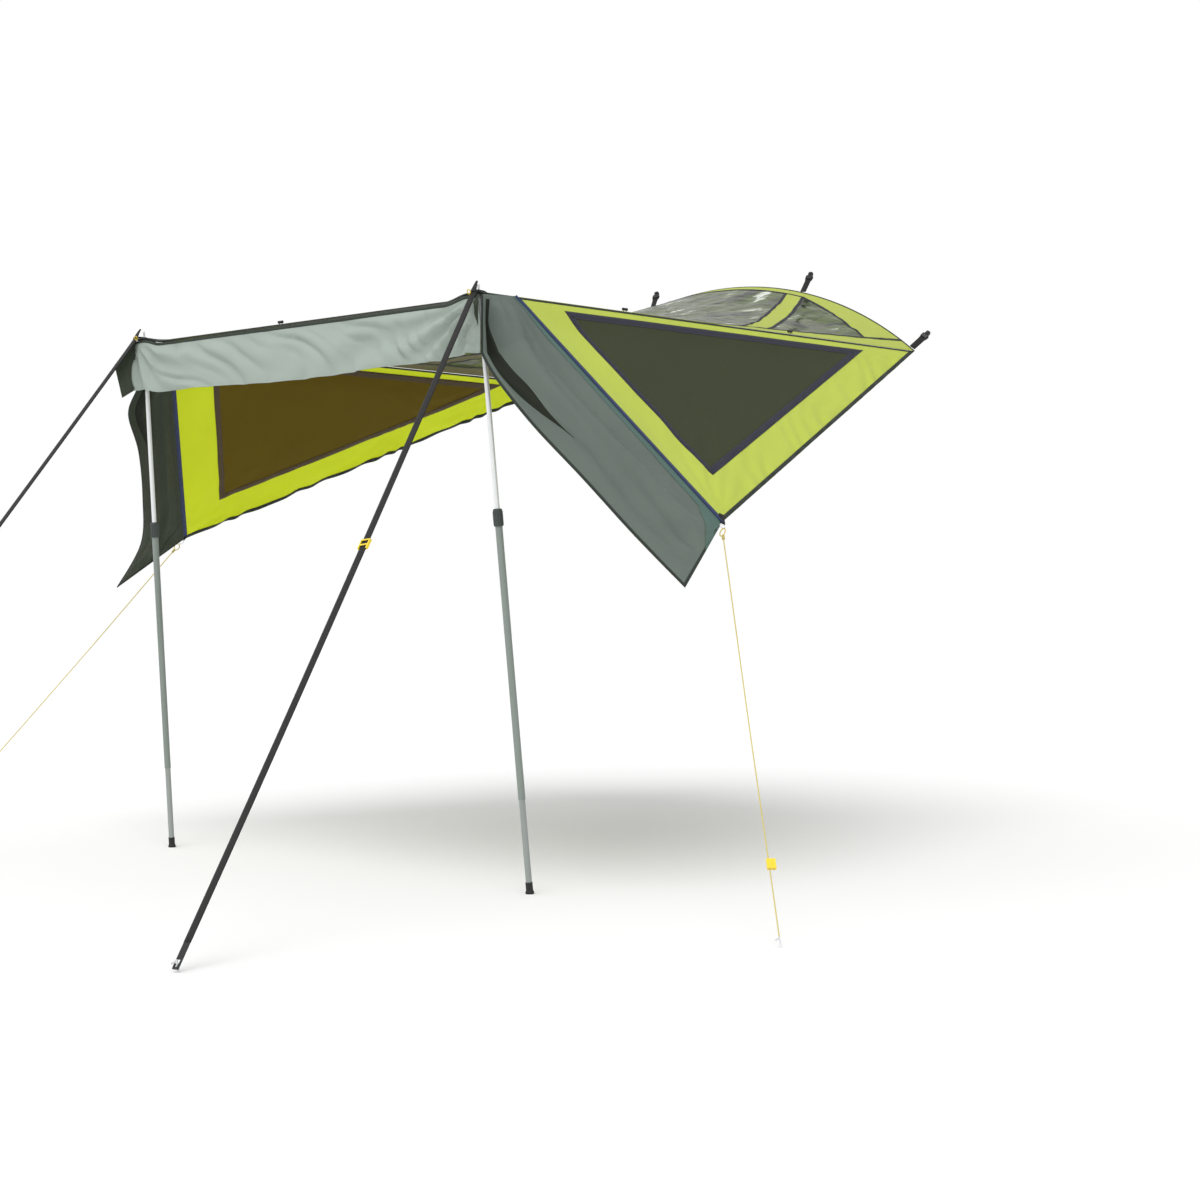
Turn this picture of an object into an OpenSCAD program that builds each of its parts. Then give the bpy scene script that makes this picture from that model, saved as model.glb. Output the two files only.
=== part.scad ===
// Tent canopy: a roof with clear skylights between two splayed mesh wings, with a valance and
// two flaps round its free edge, two telescopic poles, two storm straps and two guys.
// Millimetres, +Z up, +Y towards the tent. The origin is the middle of the arched rear edge,
// where the canopy hangs from the tent's beam. Sides: s = 1 is +X (right), s = -1 is -X (left).

/* [Canopy] */
// Depth of the roof, from its front edge to its rear edge
depth = 2410; // [2380:5:2440]
// Half of the front edge's width
front_half = 890; // [880:1:900]
// Height of the front edge above the ground
front_h = 1900; // [1890:1:1910]
// Half of the rear edge's width
rear_half = 957; // [945:1:965]
// Height of the rear corners above the ground
rear_corner_h = 1930; // [1920:1:1940]
// Height of the middle of the rear edge above the ground
apex_h = 2275; // [2265:1:2285]
// Thickness that stands for a layer of cloth
cloth_t = 2; // [1:0.5:3]

/* [Roof panels] */
// Width of the grey band along the front edge
front_band = 155; // [120:5:180]
// Width of the bands along the side edges
side_band = 60; // [50:5:80]
// Width of the rear band at the middle of the rear edge
rear_band = 70; // [60:5:90]
// Width of the rear band at the rear corners
rear_band_side = 260; // [220:5:300]
// Distance from the rear edge to the front of the skylights
skylight_reach = 1040; // [1000:5:1080]
// Half of the middle skylight's width at the rear
skylight_half = 375; // [350:5:390]
// Width of the bands between the skylights, along the rear edge
divider_w = 85; // [75:5:95]
// Drop of the valance below the front edge
valance_drop = 190; // [160:5:220]

/* [Wings] */
// Distance of a wing's lower corner outside the front corner
wing_out = 492; // [470:1:510]
// Distance of a wing's lower corner behind the front edge
wing_back = 597; // [570:1:620]
// Drop of a wing's lower corner below the front edge
wing_drop = 716; // [690:1:740]
// Width of a wing's top band
wing_top_band = 45; // [40:1:60]
// Width of a wing's front band
wing_front_band = 185; // [150:5:200]
// Width of a wing's rear band
wing_rear_band = 147; // [120:1:170]
// Gap between two cloth pieces that meet at an angle
cloth_gap = 3; // [2:0.5:4]

/* [Poles] */
// Distance of a pole's foot outside the front corner
foot_out = 37; // [20:1:50]
// Distance of a pole's foot behind the front edge
foot_back = 192; // [180:1:200]
// Distance of an eyelet from the two edges at its corner
eye_inset = 22; // [20:1:25]
// Radius of the spike
spike_r = 4; // [3.5:0.5:4.5]
// Outer radius of the upper tube
upper_r = 8; // [7:0.5:8.5]
// Outer radius of the lower tube
lower_r = 10; // [9.5:0.1:10]
// Inner radius of the sleeve tube
sleeve_bore_r = 10.08; // [10.05:0.01:10.1]
// Outer radius of the sleeve tube
sleeve_r = 11.6; // [11.2:0.1:12.5]
// Distance from the eyelet down the pole to the sleeve's top
sleeve_top = 700; // [680:5:720]
// Length of the sleeve tube
sleeve_len = 905; // [880:5:920]

/* [Straps and guys] */
// Width of the storm strap's webbing
webbing_w = 25; // [20:1:26]
// Thickness of the storm strap's webbing
webbing_t = 3; // [2:0.5:3]
// Diameter of the guy's cord
cord_d = 4; // [3:0.5:4]

/* [Hidden] */
$fn = 48;

// Driving points of the right side
front_y = -depth;
front_z = front_h - apex_h;
rear_z = rear_corner_h - apex_h;
ground_z = -apex_h;
corner = [front_half, front_y, front_z];
rear_corner = [rear_half, 0, rear_z];
wing_corner = corner + [wing_out, wing_back, -wing_drop];
eye = corner + [-eye_inset, eye_inset, 0];
foot = [front_half + foot_out, front_y + foot_back, ground_z];

// Route of the right storm strap's webbing, from the head to the end loop
STRAP = [[875, -2417, -370], [887, -2471, -447], [923, -2631, -671], [959, -2792, -895],
  [1001, -2979, -1154], [1044, -3167, -1411], [1086, -3354, -1666],
  [1131, -3555, -1937], [1176, -3756, -2206]];
// Route of the right guy's cord, from the corner loop to the peg
GUY = [[1414, -1843, -1139], [1527, -1949, -1322], [1653, -2068, -1526], [1780, -2188, -1728],
  [1907, -2307, -1928], [2034, -2426, -2125], [2118, -2506, -2256]];
// Free edge of the right flap, from the valance's end to the tip
FLAP_EDGE = [[893, -2406, -565], [955, -2404, -650], [1066, -2352, -800], [1200, -2272, -965],
  [1330, -2180, -1140], [1457, -2089, -1300]];
// Distance of the slider and of the runner from the start of the strap and of the guy
slider_at = 1005;
runner_at = 1230;
// Directions of the inner and outer rear straps on the right, and their length
INNER_DIR = [0.1, 0.5, 0.86];
OUTER_DIR = [0.45, 0.6, 0.66];
inner_x = 409;
rear_strap_len = 60;

lime = [0.78, 0.85, 0.20];
grey = [0.44, 0.49, 0.46];
sage = [0.68, 0.72, 0.69];
charcoal = [0.24, 0.25, 0.21];
clear = [0.75, 0.82, 0.80, 0.45];
black = [0.07, 0.07, 0.08];
steel = [0.62, 0.64, 0.66];
dark_steel = [0.30, 0.32, 0.33];
yellow = [0.90, 0.72, 0.12];
pale_yellow = [0.93, 0.89, 0.55];

function unit(v) = v / norm(v);
function lerp(a, b, t) = a + (b - a) * t;
// Any direction square to d, level where it can be
function square_to(d) = unit(abs(d.z) > 0.999 ? [1, 0, 0] : cross([0, 0, 1], d));
// Where the line through p and q meets the line through a and b, in a plane
function meet(p, q, a, b) =
  let (d = q - p, e = b - a, w = a - p)
  p + d * (w.x * e.y - w.y * e.x) / (d.x * e.y - d.y * e.x);
// The line through p and q moved by w to its left
function left_of(p, q, w) = let (d = unit(q - p)) [p + w * [-d.y, d.x], q + w * [-d.y, d.x]];

// Half-width of the roof, and of its field inside the side bands, at a place y
function edge_x(y) = lerp(rear_half, front_half, -y / depth);
function field_x(y) = edge_x(y) - side_band;
// The roof's height: straight at the front edge and along both sides. The rear arch's crown
// dies away towards the front, as it does in cloth that nothing props up in the middle
arch_r = (rear_half * rear_half + rear_z * rear_z) / (-2 * rear_z);
function arch_z(x) = sqrt(arch_r * arch_r - x * x) - arch_r;
function roof_z(x, y) =
  let (v = 1 + y / depth, x_rear = x * rear_half / edge_x(y))
    lerp(front_z, rear_z, v) + (arch_z(x_rear) - rear_z) * v * v;

// Places a child's X, Y and Z axes on x, y and their cross product, at the point o
module in_frame(o, x, y) {
  z = cross(x, y);
  multmatrix([[x.x, y.x, z.x, o.x], [x.y, y.y, z.y, o.y], [x.z, y.z, z.z, o.z], [0, 0, 0, 1]])
    children();
}
// Places a child's Z axis along d, at the point o
module along(o, d) {
  x = square_to(d);
  in_frame(o, x, cross(unit(d), x)) children();
}
module side(s) {
  if (s > 0) children();
  else mirror([1, 0, 0]) children();
}

// A layer of cloth on a grid of points; off, half its thickness, points along
// (next column) x (next row)
module cloth(grid, off) {
  m = len(grid);
  n = len(grid[0]);
  function id(k, i, j) = (k * m + i) * n + j;
  function tile(k, a, b, c, d) = k == 0 ? [[a, b, c], [a, c, d]] : [[a, c, b], [a, d, c]];
  polyhedron(
    points = [for (k = [1, -1], row = grid, p = row) p + k * off],
    faces = concat(
      [for (k = [0, 1], i = [0:m - 2], j = [0:n - 2])
        each tile(k, id(k, i, j), id(k, i + 1, j), id(k, i + 1, j + 1), id(k, i, j + 1))],
      [for (i = [0:m - 2]) [id(0, i + 1, 0), id(0, i, 0), id(1, i, 0), id(1, i + 1, 0)]],
      [for (i = [0:m - 2])
        [id(0, i, n - 1), id(0, i + 1, n - 1), id(1, i + 1, n - 1), id(1, i, n - 1)]],
      [for (j = [0:n - 2]) [id(0, 0, j), id(0, 0, j + 1), id(1, 0, j + 1), id(1, 0, j)]],
      [for (j = [0:n - 2])
        [id(0, m - 1, j + 1), id(0, m - 1, j), id(1, m - 1, j), id(1, m - 1, j + 1)]]),
    convexity = 6);
}

// A piece of the roof over a four-sided plan, given front left, front right, rear left and
// rear right, in m rows and n columns
module roof_piece(fl, fr, rl, rr, m, n) {
  function plan(u, v) = lerp(lerp(fl, fr, u), lerp(rl, rr, u), v);
  cloth([for (i = [0:m]) [for (j = [0:n])
    let (p = plan(j / n, i / m)) [p.x, p.y, roof_z(p.x, p.y)]]], [0, 0, cloth_t / 2]);
}
// The same on the left, where the plan's left and right change places
module side_piece(s, fl, fr, rl, rr, m, n) {
  function flip(p) = [-p.x, p.y];
  if (s > 0) roof_piece(fl, fr, rl, rr, m, n);
  else roof_piece(flip(fr), flip(fl), flip(rr), flip(rl), m, n);
}

band_y = front_y + front_band;
module roof_front_band() {
  color(grey) difference() {
    roof_piece([-front_half, front_y], [front_half, front_y], [-edge_x(band_y), band_y],
      [edge_x(band_y), band_y], 1, 12);
    for (s = [-1, 1]) translate([s * eye.x, eye.y, front_z - 10]) cylinder(r = 9, h = 20);
  }
}
module roof_front_panel() {
  y = -skylight_reach;
  color(lime) roof_piece([-field_x(band_y), band_y], [field_x(band_y), band_y],
    [-field_x(y), y], [field_x(y), y], 8, 16);
}
module roof_side_band(s) {
  color(lime) side_piece(s, [field_x(band_y), band_y], [edge_x(band_y), band_y],
    [field_x(0), 0], [edge_x(0), 0], 12, 1);
}
// Corners that the roof's rear pieces share
divider_front = -skylight_reach;
divider_rear = -skylight_reach * 0.84;
divider_out = skylight_half + divider_w;
module skylight_middle() {
  y = divider_front;
  color(clear) roof_piece([-field_x(y), y], [field_x(y), y], [-skylight_half, -rear_band],
    [skylight_half, -rear_band], 8, 16);
}
module roof_divider(s) {
  color(lime) side_piece(s, [field_x(divider_front), divider_front],
    [field_x(divider_rear), divider_rear], [skylight_half, -rear_band],
    [divider_out, -rear_band], 8, 2);
}
module skylight_side(s) {
  y = divider_rear;
  tip = 3;
  color(clear) side_piece(s, [field_x(y), y], [field_x(y + tip), y + tip],
    [divider_out, -rear_band], [field_x(-rear_band_side), -rear_band_side], 8, 6);
}
module roof_rear_band() {
  color(lime) {
    roof_piece([-divider_out, -rear_band], [divider_out, -rear_band], [-divider_out, 0],
      [divider_out, 0], 2, 12);
    for (s = [-1, 1])
      side_piece(s, [divider_out, -rear_band],
        [field_x(-rear_band_side), -rear_band_side], [divider_out, 0], [field_x(0), 0], 2, 6);
  }
}
module front_valance() {
  top_gap = 8;
  color(sage) translate([-front_half, front_y - cloth_t - 1, front_z - valance_drop])
    cube([2 * front_half, cloth_t, valance_drop - top_gap]);
}

// The wing's own plane: a along the roof's side edge, b down the wing
wing_a = unit(rear_corner - corner);
wing_n = unit(cross(wing_a, wing_corner - corner));
wing_b = cross(wing_n, wing_a);
function on_wing(p) = [(p - corner) * wing_a, (p - corner) * wing_b];
WING_SEAM_TOP = [front_band, cloth_gap];
WING_LOW = on_wing(wing_corner);
WING_REAR = [norm(rear_corner - corner), cloth_gap];
WINDOW = let (
    top = left_of([0, cloth_gap], [1, cloth_gap], wing_top_band),
    front = left_of(WING_LOW, WING_SEAM_TOP, wing_front_band),
    rear = left_of(WING_REAR, WING_LOW, wing_rear_band))
  [meet(top[0], top[1], front[0], front[1]), meet(front[0], front[1], rear[0], rear[1]),
   meet(rear[0], rear[1], top[0], top[1])];
module wing_plate(s) {
  side(s) in_frame(corner, wing_a, wing_b) translate([0, 0, -cloth_t / 2])
    linear_extrude(cloth_t) children();
}
module wing_frame(s) {
  color(lime) wing_plate(s) difference() {
    polygon([WING_SEAM_TOP, WING_LOW, WING_REAR]);
    polygon(WINDOW);
  }
}
module wing_mesh(s) {
  color(charcoal) wing_plate(s) polygon(WINDOW);
}
// The flap follows the front corner, the wing's front seam and its own free edge
seam_top = corner + wing_a * front_band;
module wing_flap(s) {
  clear_of_roof = [3, 0, -7];
  steps = len(FLAP_EDGE) - 1;
  seam = [for (i = [0:steps])
    i == 0 ? corner + clear_of_roof + [0, 4, 0]
    : lerp(seam_top, wing_corner, (i - 1) / (steps - 1))
      - wing_a * cloth_gap * (i < steps ? 2 : 4)
      + (i == 1 ? clear_of_roof : [0, 0, 0])];
  color(grey) side(s) cloth([for (i = [0:steps]) [seam[i], FLAP_EDGE[i]]],
    -wing_n * cloth_t / 2);
}

// Under the roof's corner, a webbing patch with the eyelet that the spike goes through
eyelet_r = 8.2;
module corner_patch(s) {
  reach = 75;
  color(black) side(s) translate([eye.x, eye.y, front_z - 5.5]) difference() {
    linear_extrude(3.5) polygon([[18, -18], [18, reach - 18], [-reach + 18, -18]]);
    translate([0, 0, -5]) cylinder(r = eyelet_r, h = 20);
  }
}
guy_dir = unit(GUY[0] - wing_corner);
ring_r = 10;
guy_loop_r = 14;
ring_wire_r = 2;
ring_centre = wing_corner + guy_dir * 16;
module ring(o, across, r, wire_r) {
  in_frame(o, guy_dir, unit(cross(across, guy_dir)))
    rotate_extrude() translate([r, 0]) circle(wire_r);
}
module guy_ring(s) {
  tab_w = 20;
  color(black) side(s) {
    ring(ring_centre, wing_n, ring_r, ring_wire_r);
    in_frame(wing_corner - wing_n * (cloth_t / 2 + 1.6), guy_dir,
      unit(cross(wing_n, guy_dir)))
      translate([-34, -tab_w / 2, -2]) cube([43, tab_w, 2]);
  }
}

// Rear straps: flat webbing that ends in a sewn loop for the hook's bar
loop_r = 4.2;
loop_bore_r = 2.6;
bar_r = 2.5;
function rear_base(x) = [x, 4, arch_z(abs(x)) + 5];
function mirrored(p, s) = [s * p.x, p.y, p.z];
REAR_PLACES = [[-rear_half + 14, -1, OUTER_DIR], [-inner_x, -1, INNER_DIR],
  [inner_x, 1, INNER_DIR], [rear_half - 14, 1, OUTER_DIR]];
function rear_dir(place) = unit(mirrored(place[2], place[1]));
function rear_pivot(place) = rear_base(place[0]) + rear_dir(place) * rear_strap_len;
module on_rear(place, o) {
  d = rear_dir(place);
  x = unit(cross([0, 1, 0], d));
  in_frame(o, x, cross(d, x)) children();
}
module rear_straps() {
  strap_w = 18;
  color(black) for (place = REAR_PLACES) on_rear(place, rear_base(place[0])) difference() {
    union() {
      translate([-strap_w / 2, -1.2, 0]) cube([strap_w, 2.4, rear_strap_len - 3]);
      translate([-strap_w / 2, 0, rear_strap_len]) rotate([0, 90, 0])
        cylinder(r = loop_r, h = strap_w);
    }
    translate([-strap_w, 0, rear_strap_len]) rotate([0, 90, 0])
      cylinder(r = loop_bore_r, h = 2 * strap_w);
  }
}
module rear_hook(place) {
  leg_x = 10.5;
  leg_w = 4;
  hook_r = 12;
  gap_r = 7.5;
  color(black) on_rear(place, rear_pivot(place)) {
    translate([-leg_x, 0, 0]) rotate([0, 90, 0]) cylinder(r = bar_r, h = 2 * leg_x);
    for (s = [-1, 1]) translate([s * (leg_x + leg_w / 2) - leg_w / 2, -3, -4])
      cube([leg_w, 6, 16]);
    translate([-leg_x - leg_w, -3, 10]) cube([2 * (leg_x + leg_w), 6, 5]);
    translate([-5, 0, 14 + hook_r]) rotate([0, 90, 0]) difference() {
      cylinder(r = hook_r, h = 10);
      translate([0, 0, -1]) cylinder(r = gap_r, h = 12);
      translate([-5, 0, -1]) cube([10, 20, 12]);
    }
  }
}
// Small toggles that stand on the front edge and the side edges
module edge_toggles() {
  toggle_r = 5;
  lift = cloth_t / 2 + toggle_r + 0.5;
  side_places = [0.28, 0.66];
  color(black) {
    translate([-12, front_y + 8, front_z + lift + 3]) rotate([0, 90, 0])
      cylinder(r = toggle_r, h = 24);
    for (s = [-1, 1], t = side_places) side(s)
      along(lerp(corner, rear_corner, t) + [-9, 0, lift + 9], wing_a)
        cylinder(r = toggle_r, h = 24);
  }
}

// Poles, measured down the pole from the eyelet
pole_dir = unit(foot - eye);
pole_len = norm(foot - eye);
foot_len = 38;
tube_top = 16;
tube_end = 930;
lower_start = 1440;
module on_pole(s, t) {
  side(s) along(eye + pole_dir * t, -pole_dir) children();
}
// A round tube of outer radius r and bore b from t0 down to t1
module tube(s, r, b, t0, t1) {
  on_pole(s, t1) difference() {
    cylinder(r = r, h = t1 - t0);
    translate([0, 0, -1]) cylinder(r = b, h = t1 - t0 + 2);
  }
}
module pole_spike(s) {
  point = 32;
  socket = 24;
  color(steel) on_pole(s, 0) rotate_extrude() polygon([[0, point], [spike_r * 0.45, point],
    [spike_r, point - 5], [spike_r, 8], [spike_r - 0.2, 8],
    [spike_r - 0.2, -tube_top], [upper_r, -tube_top],
    [upper_r, -tube_top - 4], [upper_r - 1.2, -tube_top - 4],
    [upper_r - 1.2, -tube_top - 4 - socket], [0, -tube_top - 4 - socket]]);
}
module upper_tube(s) {
  color(steel) tube(s, upper_r, upper_r - 1.2, tube_top + 4, tube_end);
}
module tube_expander(s) {
  expander_len = 40;
  color(black) tube(s, lower_r, 3, tube_end, tube_end + expander_len);
}
module lock_collar(s) {
  above = 22;
  below = 34;
  color(black) on_pole(s, sleeve_top) difference() {
    union() {
      translate([0, 0, -below]) cylinder(r = sleeve_r + 3.4, h = above + below - 4);
      translate([0, 0, above - 4]) cylinder(r1 = sleeve_r + 3.4, r2 = sleeve_r, h = 4);
      for (a = [0:30:330]) rotate(a) translate([sleeve_r + 3.4, 0, -below + 4])
        cylinder(r = 1.2, h = above + below - 12);
    }
    translate([0, 0, -below - 1]) cylinder(r = sleeve_r + 0.06, h = below + 1.06);
    translate([0, 0, -1]) cylinder(r = upper_r + 0.06, h = above + 2);
  }
}
module sleeve_tube(s) {
  color(dark_steel) tube(s, sleeve_r, sleeve_bore_r, sleeve_top, sleeve_top + sleeve_len);
}
module lower_tube(s) {
  color(grey) tube(s, lower_r, lower_r - 1.2, lower_start, pole_len - 4);
}
module pole_foot(s) {
  rim = 14;
  color(black) on_pole(s, pole_len) rotate_extrude() polygon([[0, 0], [rim - 1, 0], [rim, 1.5],
    [rim, 6], [rim - 2.5, 12], [rim - 2.5, foot_len], [lower_r, foot_len], [lower_r, 4],
    [0, 4]]);
}

// Storm straps
strap_flat = unit(cross([0, 0, 1], STRAP[4] - STRAP[3]));
// Point and direction at a distance along a route
function route_at(r, t, i = 0) =
  let (step = norm(r[i + 1] - r[i]))
  t <= step || i == len(r) - 2 ? [lerp(r[i], r[i + 1], t / step), unit(r[i + 1] - r[i])]
  : route_at(r, t - step, i + 1);
// A cord of width w and thickness t swept along a route, its width kept near the direction x
module swept(route, w, t, x, sides = 8) {
  n = len(route);
  function dir(i) = unit(route[min(i + 1, n - 1)] - route[max(i - 1, 0)]);
  function across(i) = unit(x - dir(i) * (x * dir(i)));
  points = [for (i = [0:n - 1], k = [0:sides - 1])
    let (a = (k + 0.5) * 360 / sides, f = 1 / cos(180 / sides))
    route[i] + across(i) * cos(a) * f * w / 2 + cross(dir(i), across(i)) * sin(a) * f * t / 2];
  polyhedron(points = points, faces = concat(
    [[for (k = [0:sides - 1]) k]],
    [for (i = [0:n - 2], k = [0:sides - 1]) let (l = (k + 1) % sides)
      each [[i * sides + k, (i + 1) * sides + k, (i + 1) * sides + l],
            [i * sides + k, (i + 1) * sides + l, i * sides + l]]],
    [[for (k = [sides - 1:-1:0]) (n - 1) * sides + k]]), convexity = 4);
}
module strap_head(s) {
  head_lift = 3.5;
  d = unit([STRAP[0].x - eye.x, STRAP[0].y - eye.y, 0]);
  reach = norm([STRAP[0].x - eye.x, STRAP[0].y - eye.y]) - 1;
  color(black) side(s) in_frame([eye.x, eye.y, front_z + head_lift], d, cross([0, 0, 1], d))
    difference() {
      union() {
        cylinder(r = 16, h = 3);
        translate([0, -webbing_w / 2, 0]) cube([reach, webbing_w, 3]);
      }
      translate([0, 0, -1]) cylinder(r = eyelet_r + 0.6, h = 6);
    }
}
module storm_strap(s) {
  color(black) side(s) swept(STRAP, webbing_w, webbing_t, strap_flat);
}
module strap_slider(s) {
  at = route_at(STRAP, slider_at);
  wide = webbing_w + 12;
  color(yellow) side(s) in_frame(at[0], strap_flat, cross(at[1], strap_flat)) difference() {
    translate([-wide / 2, -6, -17]) cube([wide, 12, 34]);
    translate([-webbing_w / 2 - 2, -3.2, -20]) cube([webbing_w + 4, 6.4, 40]);
  }
}
// A webbing loop below the strap, and the peg that stands in it
peg_head = STRAP[8] + unit(STRAP[8] - STRAP[7]) * 62;
module strap_end(s) {
  d = unit(STRAP[8] - STRAP[7]);
  color(black) side(s) in_frame(STRAP[8], strap_flat, cross(d, strap_flat))
    difference() {
      translate([-9, -2.5, 0]) cube([18, 5, 76]);
      translate([-5.5, -5, 48]) cube([11, 10, 22]);
    }
}
module peg(o, d, r, length) {
  hook = 9;
  point = 20;
  along(o, d) {
    translate([0, 0, -length]) cylinder(r1 = 1, r2 = r, h = point);
    translate([0, 0, point - length]) cylinder(r = r, h = length - point + hook + r);
    translate([0, 0, hook]) rotate([90, 0, 0]) cylinder(r = r * 0.8, h = 22 - r);
  }
}
module strap_peg(s) {
  color(steel) side(s) peg(peg_head, [0.06, -0.28, 1], 3.5, 200);
}

// Guys
loop_centre = ring_centre + guy_dir * (ring_r + guy_loop_r - 6);
module guy_loop(s) {
  color(yellow) side(s) {
    ring(loop_centre, cross(wing_n, guy_dir), guy_loop_r, ring_wire_r);
    along(GUY[0], -guy_dir) cylinder(r = 4.5, h = 17);
  }
}
module guy_cord(s) {
  color(pale_yellow) side(s) swept(GUY, cord_d, cord_d, [0, 1, 0]);
}
module guy_runner(s) {
  at = route_at(GUY, runner_at);
  color(yellow) side(s) in_frame(at[0], square_to(at[1]), cross(at[1], square_to(at[1])))
    difference() {
      translate([-7, -5, -16]) cube([26, 10, 32]);
      translate([0, 0, -20]) cylinder(r = cord_d / 2 + 0.8, h = 40);
      translate([13, 0, -20]) cylinder(r = 2.6, h = 40);
    }
}
module guy_peg(s) {
  color(steel) side(s) peg(GUY[6], [0.28, -0.26, 1], 3, 170);
}

roof_front_band();
roof_front_panel();
roof_side_band(-1);  // roof_side_band_left
roof_side_band(1);  // roof_side_band_right
skylight_middle();
skylight_side(-1);  // skylight_left
skylight_side(1);  // skylight_right
roof_divider(-1);  // roof_divider_left
roof_divider(1);  // roof_divider_right
roof_rear_band();
front_valance();
wing_frame(-1);  // wing_frame_left
wing_frame(1);  // wing_frame_right
wing_mesh(-1);  // wing_mesh_left
wing_mesh(1);  // wing_mesh_right
wing_flap(-1);  // wing_flap_left
wing_flap(1);  // wing_flap_right
corner_patch(-1);  // corner_patch_left
corner_patch(1);  // corner_patch_right
guy_ring(-1);  // guy_ring_left
guy_ring(1);  // guy_ring_right
rear_straps();
rear_hook(REAR_PLACES[0]);  // rear_hook_outer_left
rear_hook(REAR_PLACES[1]);  // rear_hook_inner_left
rear_hook(REAR_PLACES[2]);  // rear_hook_inner_right
rear_hook(REAR_PLACES[3]);  // rear_hook_outer_right
edge_toggles();
pole_spike(-1);  // pole_spike_left
pole_spike(1);  // pole_spike_right
upper_tube(-1);  // upper_tube_left
upper_tube(1);  // upper_tube_right
tube_expander(-1);  // tube_expander_left
tube_expander(1);  // tube_expander_right
lock_collar(-1);  // lock_collar_left
lock_collar(1);  // lock_collar_right
sleeve_tube(-1);  // sleeve_tube_left
sleeve_tube(1);  // sleeve_tube_right
lower_tube(-1);  // lower_tube_left
lower_tube(1);  // lower_tube_right
pole_foot(-1);  // pole_foot_left
pole_foot(1);  // pole_foot_right
strap_head(-1);  // strap_head_left
strap_head(1);  // strap_head_right
storm_strap(-1);  // storm_strap_left
storm_strap(1);  // storm_strap_right
strap_slider(-1);  // strap_slider_left
strap_slider(1);  // strap_slider_right
strap_end(-1);  // strap_end_left
strap_end(1);  // strap_end_right
strap_peg(-1);  // strap_peg_left
strap_peg(1);  // strap_peg_right
guy_loop(-1);  // guy_loop_left
guy_loop(1);  // guy_loop_right
guy_cord(-1);  // guy_cord_left
guy_cord(1);  // guy_cord_right
guy_runner(-1);  // guy_runner_left
guy_runner(1);  // guy_runner_right
guy_peg(-1);  // guy_peg_left
guy_peg(1);  // guy_peg_right
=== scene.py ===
import math

import bmesh
import bpy
from mathutils import Matrix, Vector, geometry, noise


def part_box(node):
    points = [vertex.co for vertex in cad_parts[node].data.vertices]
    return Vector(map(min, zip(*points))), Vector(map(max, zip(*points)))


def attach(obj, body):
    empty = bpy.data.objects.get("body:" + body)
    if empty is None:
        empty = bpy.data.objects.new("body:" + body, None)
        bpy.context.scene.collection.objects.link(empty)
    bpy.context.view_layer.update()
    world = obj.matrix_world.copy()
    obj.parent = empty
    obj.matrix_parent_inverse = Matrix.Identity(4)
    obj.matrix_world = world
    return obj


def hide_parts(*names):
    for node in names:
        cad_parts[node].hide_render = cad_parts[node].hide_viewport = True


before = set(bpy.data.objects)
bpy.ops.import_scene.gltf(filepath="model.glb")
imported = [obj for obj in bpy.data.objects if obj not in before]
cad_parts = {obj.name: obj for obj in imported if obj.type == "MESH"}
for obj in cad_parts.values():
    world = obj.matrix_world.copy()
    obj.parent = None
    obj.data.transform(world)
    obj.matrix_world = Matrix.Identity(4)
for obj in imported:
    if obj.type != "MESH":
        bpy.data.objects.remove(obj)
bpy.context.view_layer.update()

bl_info = {
    "name": "Tent Canopy",
    "version": (1, 0, 0),
    "blender": (4, 5, 0),
    "location": "View3D > Sidebar > Canopy",
    "description": "Dresses a tent canopy's frame in cloth, clear film, webbing, cord and hardware",
    "category": "Object",
}

UV = "cloth"
SIDES = (("left", -1), ("right", 1))


# ---- Sizes, in metres, taken from the frame where a part's box gives them ----

def lerp(a, b, t):
    return a + (b - a) * t


def ease(t):
    """0 below 0, 1 above 1, and a smooth step between."""
    t = min(max(t, 0.0), 1.0)
    return t * t * (3 - 2 * t)


def mirrored(p, side):
    return Vector((side * p.x, p.y, p.z))


CLOTH_HALF = 0.001
band_low, band_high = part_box("roof_front_band")
DEPTH = -band_low.y
FRONT_HALF = band_high.x
FRONT_Z = band_low.z + CLOTH_HALF
BAND_Y = band_high.y
REAR_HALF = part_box("roof_side_band_right")[1].x
REAR_Z = -0.345
GROUND_Z = -2.275
SIDE_BAND = 0.060
REAR_BAND = 0.070
REAR_BAND_SIDE = 0.260
SKYLIGHT_Y = -1.040
SKYLIGHT_HALF = 0.375
DIVIDER_W = 0.085
ARCH_R = (REAR_HALF ** 2 + REAR_Z ** 2) / (-2 * REAR_Z)

CORNER = Vector((FRONT_HALF, -DEPTH, FRONT_Z))
REAR_CORNER = Vector((REAR_HALF, 0, REAR_Z))
WING_CORNER = CORNER + Vector((0.492, 0.597, -0.716))
EYE = CORNER + Vector((-0.022, 0.022, 0))
WING_A = (REAR_CORNER - CORNER).normalized()
WING_N = WING_A.cross(WING_CORNER - CORNER).normalized()
WING_B = WING_N.cross(WING_A)
FRONT_BAND = 0.155
WING_TOP_BAND = 0.045
WING_FRONT_BAND = 0.185
WING_REAR_BAND = 0.147

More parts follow.
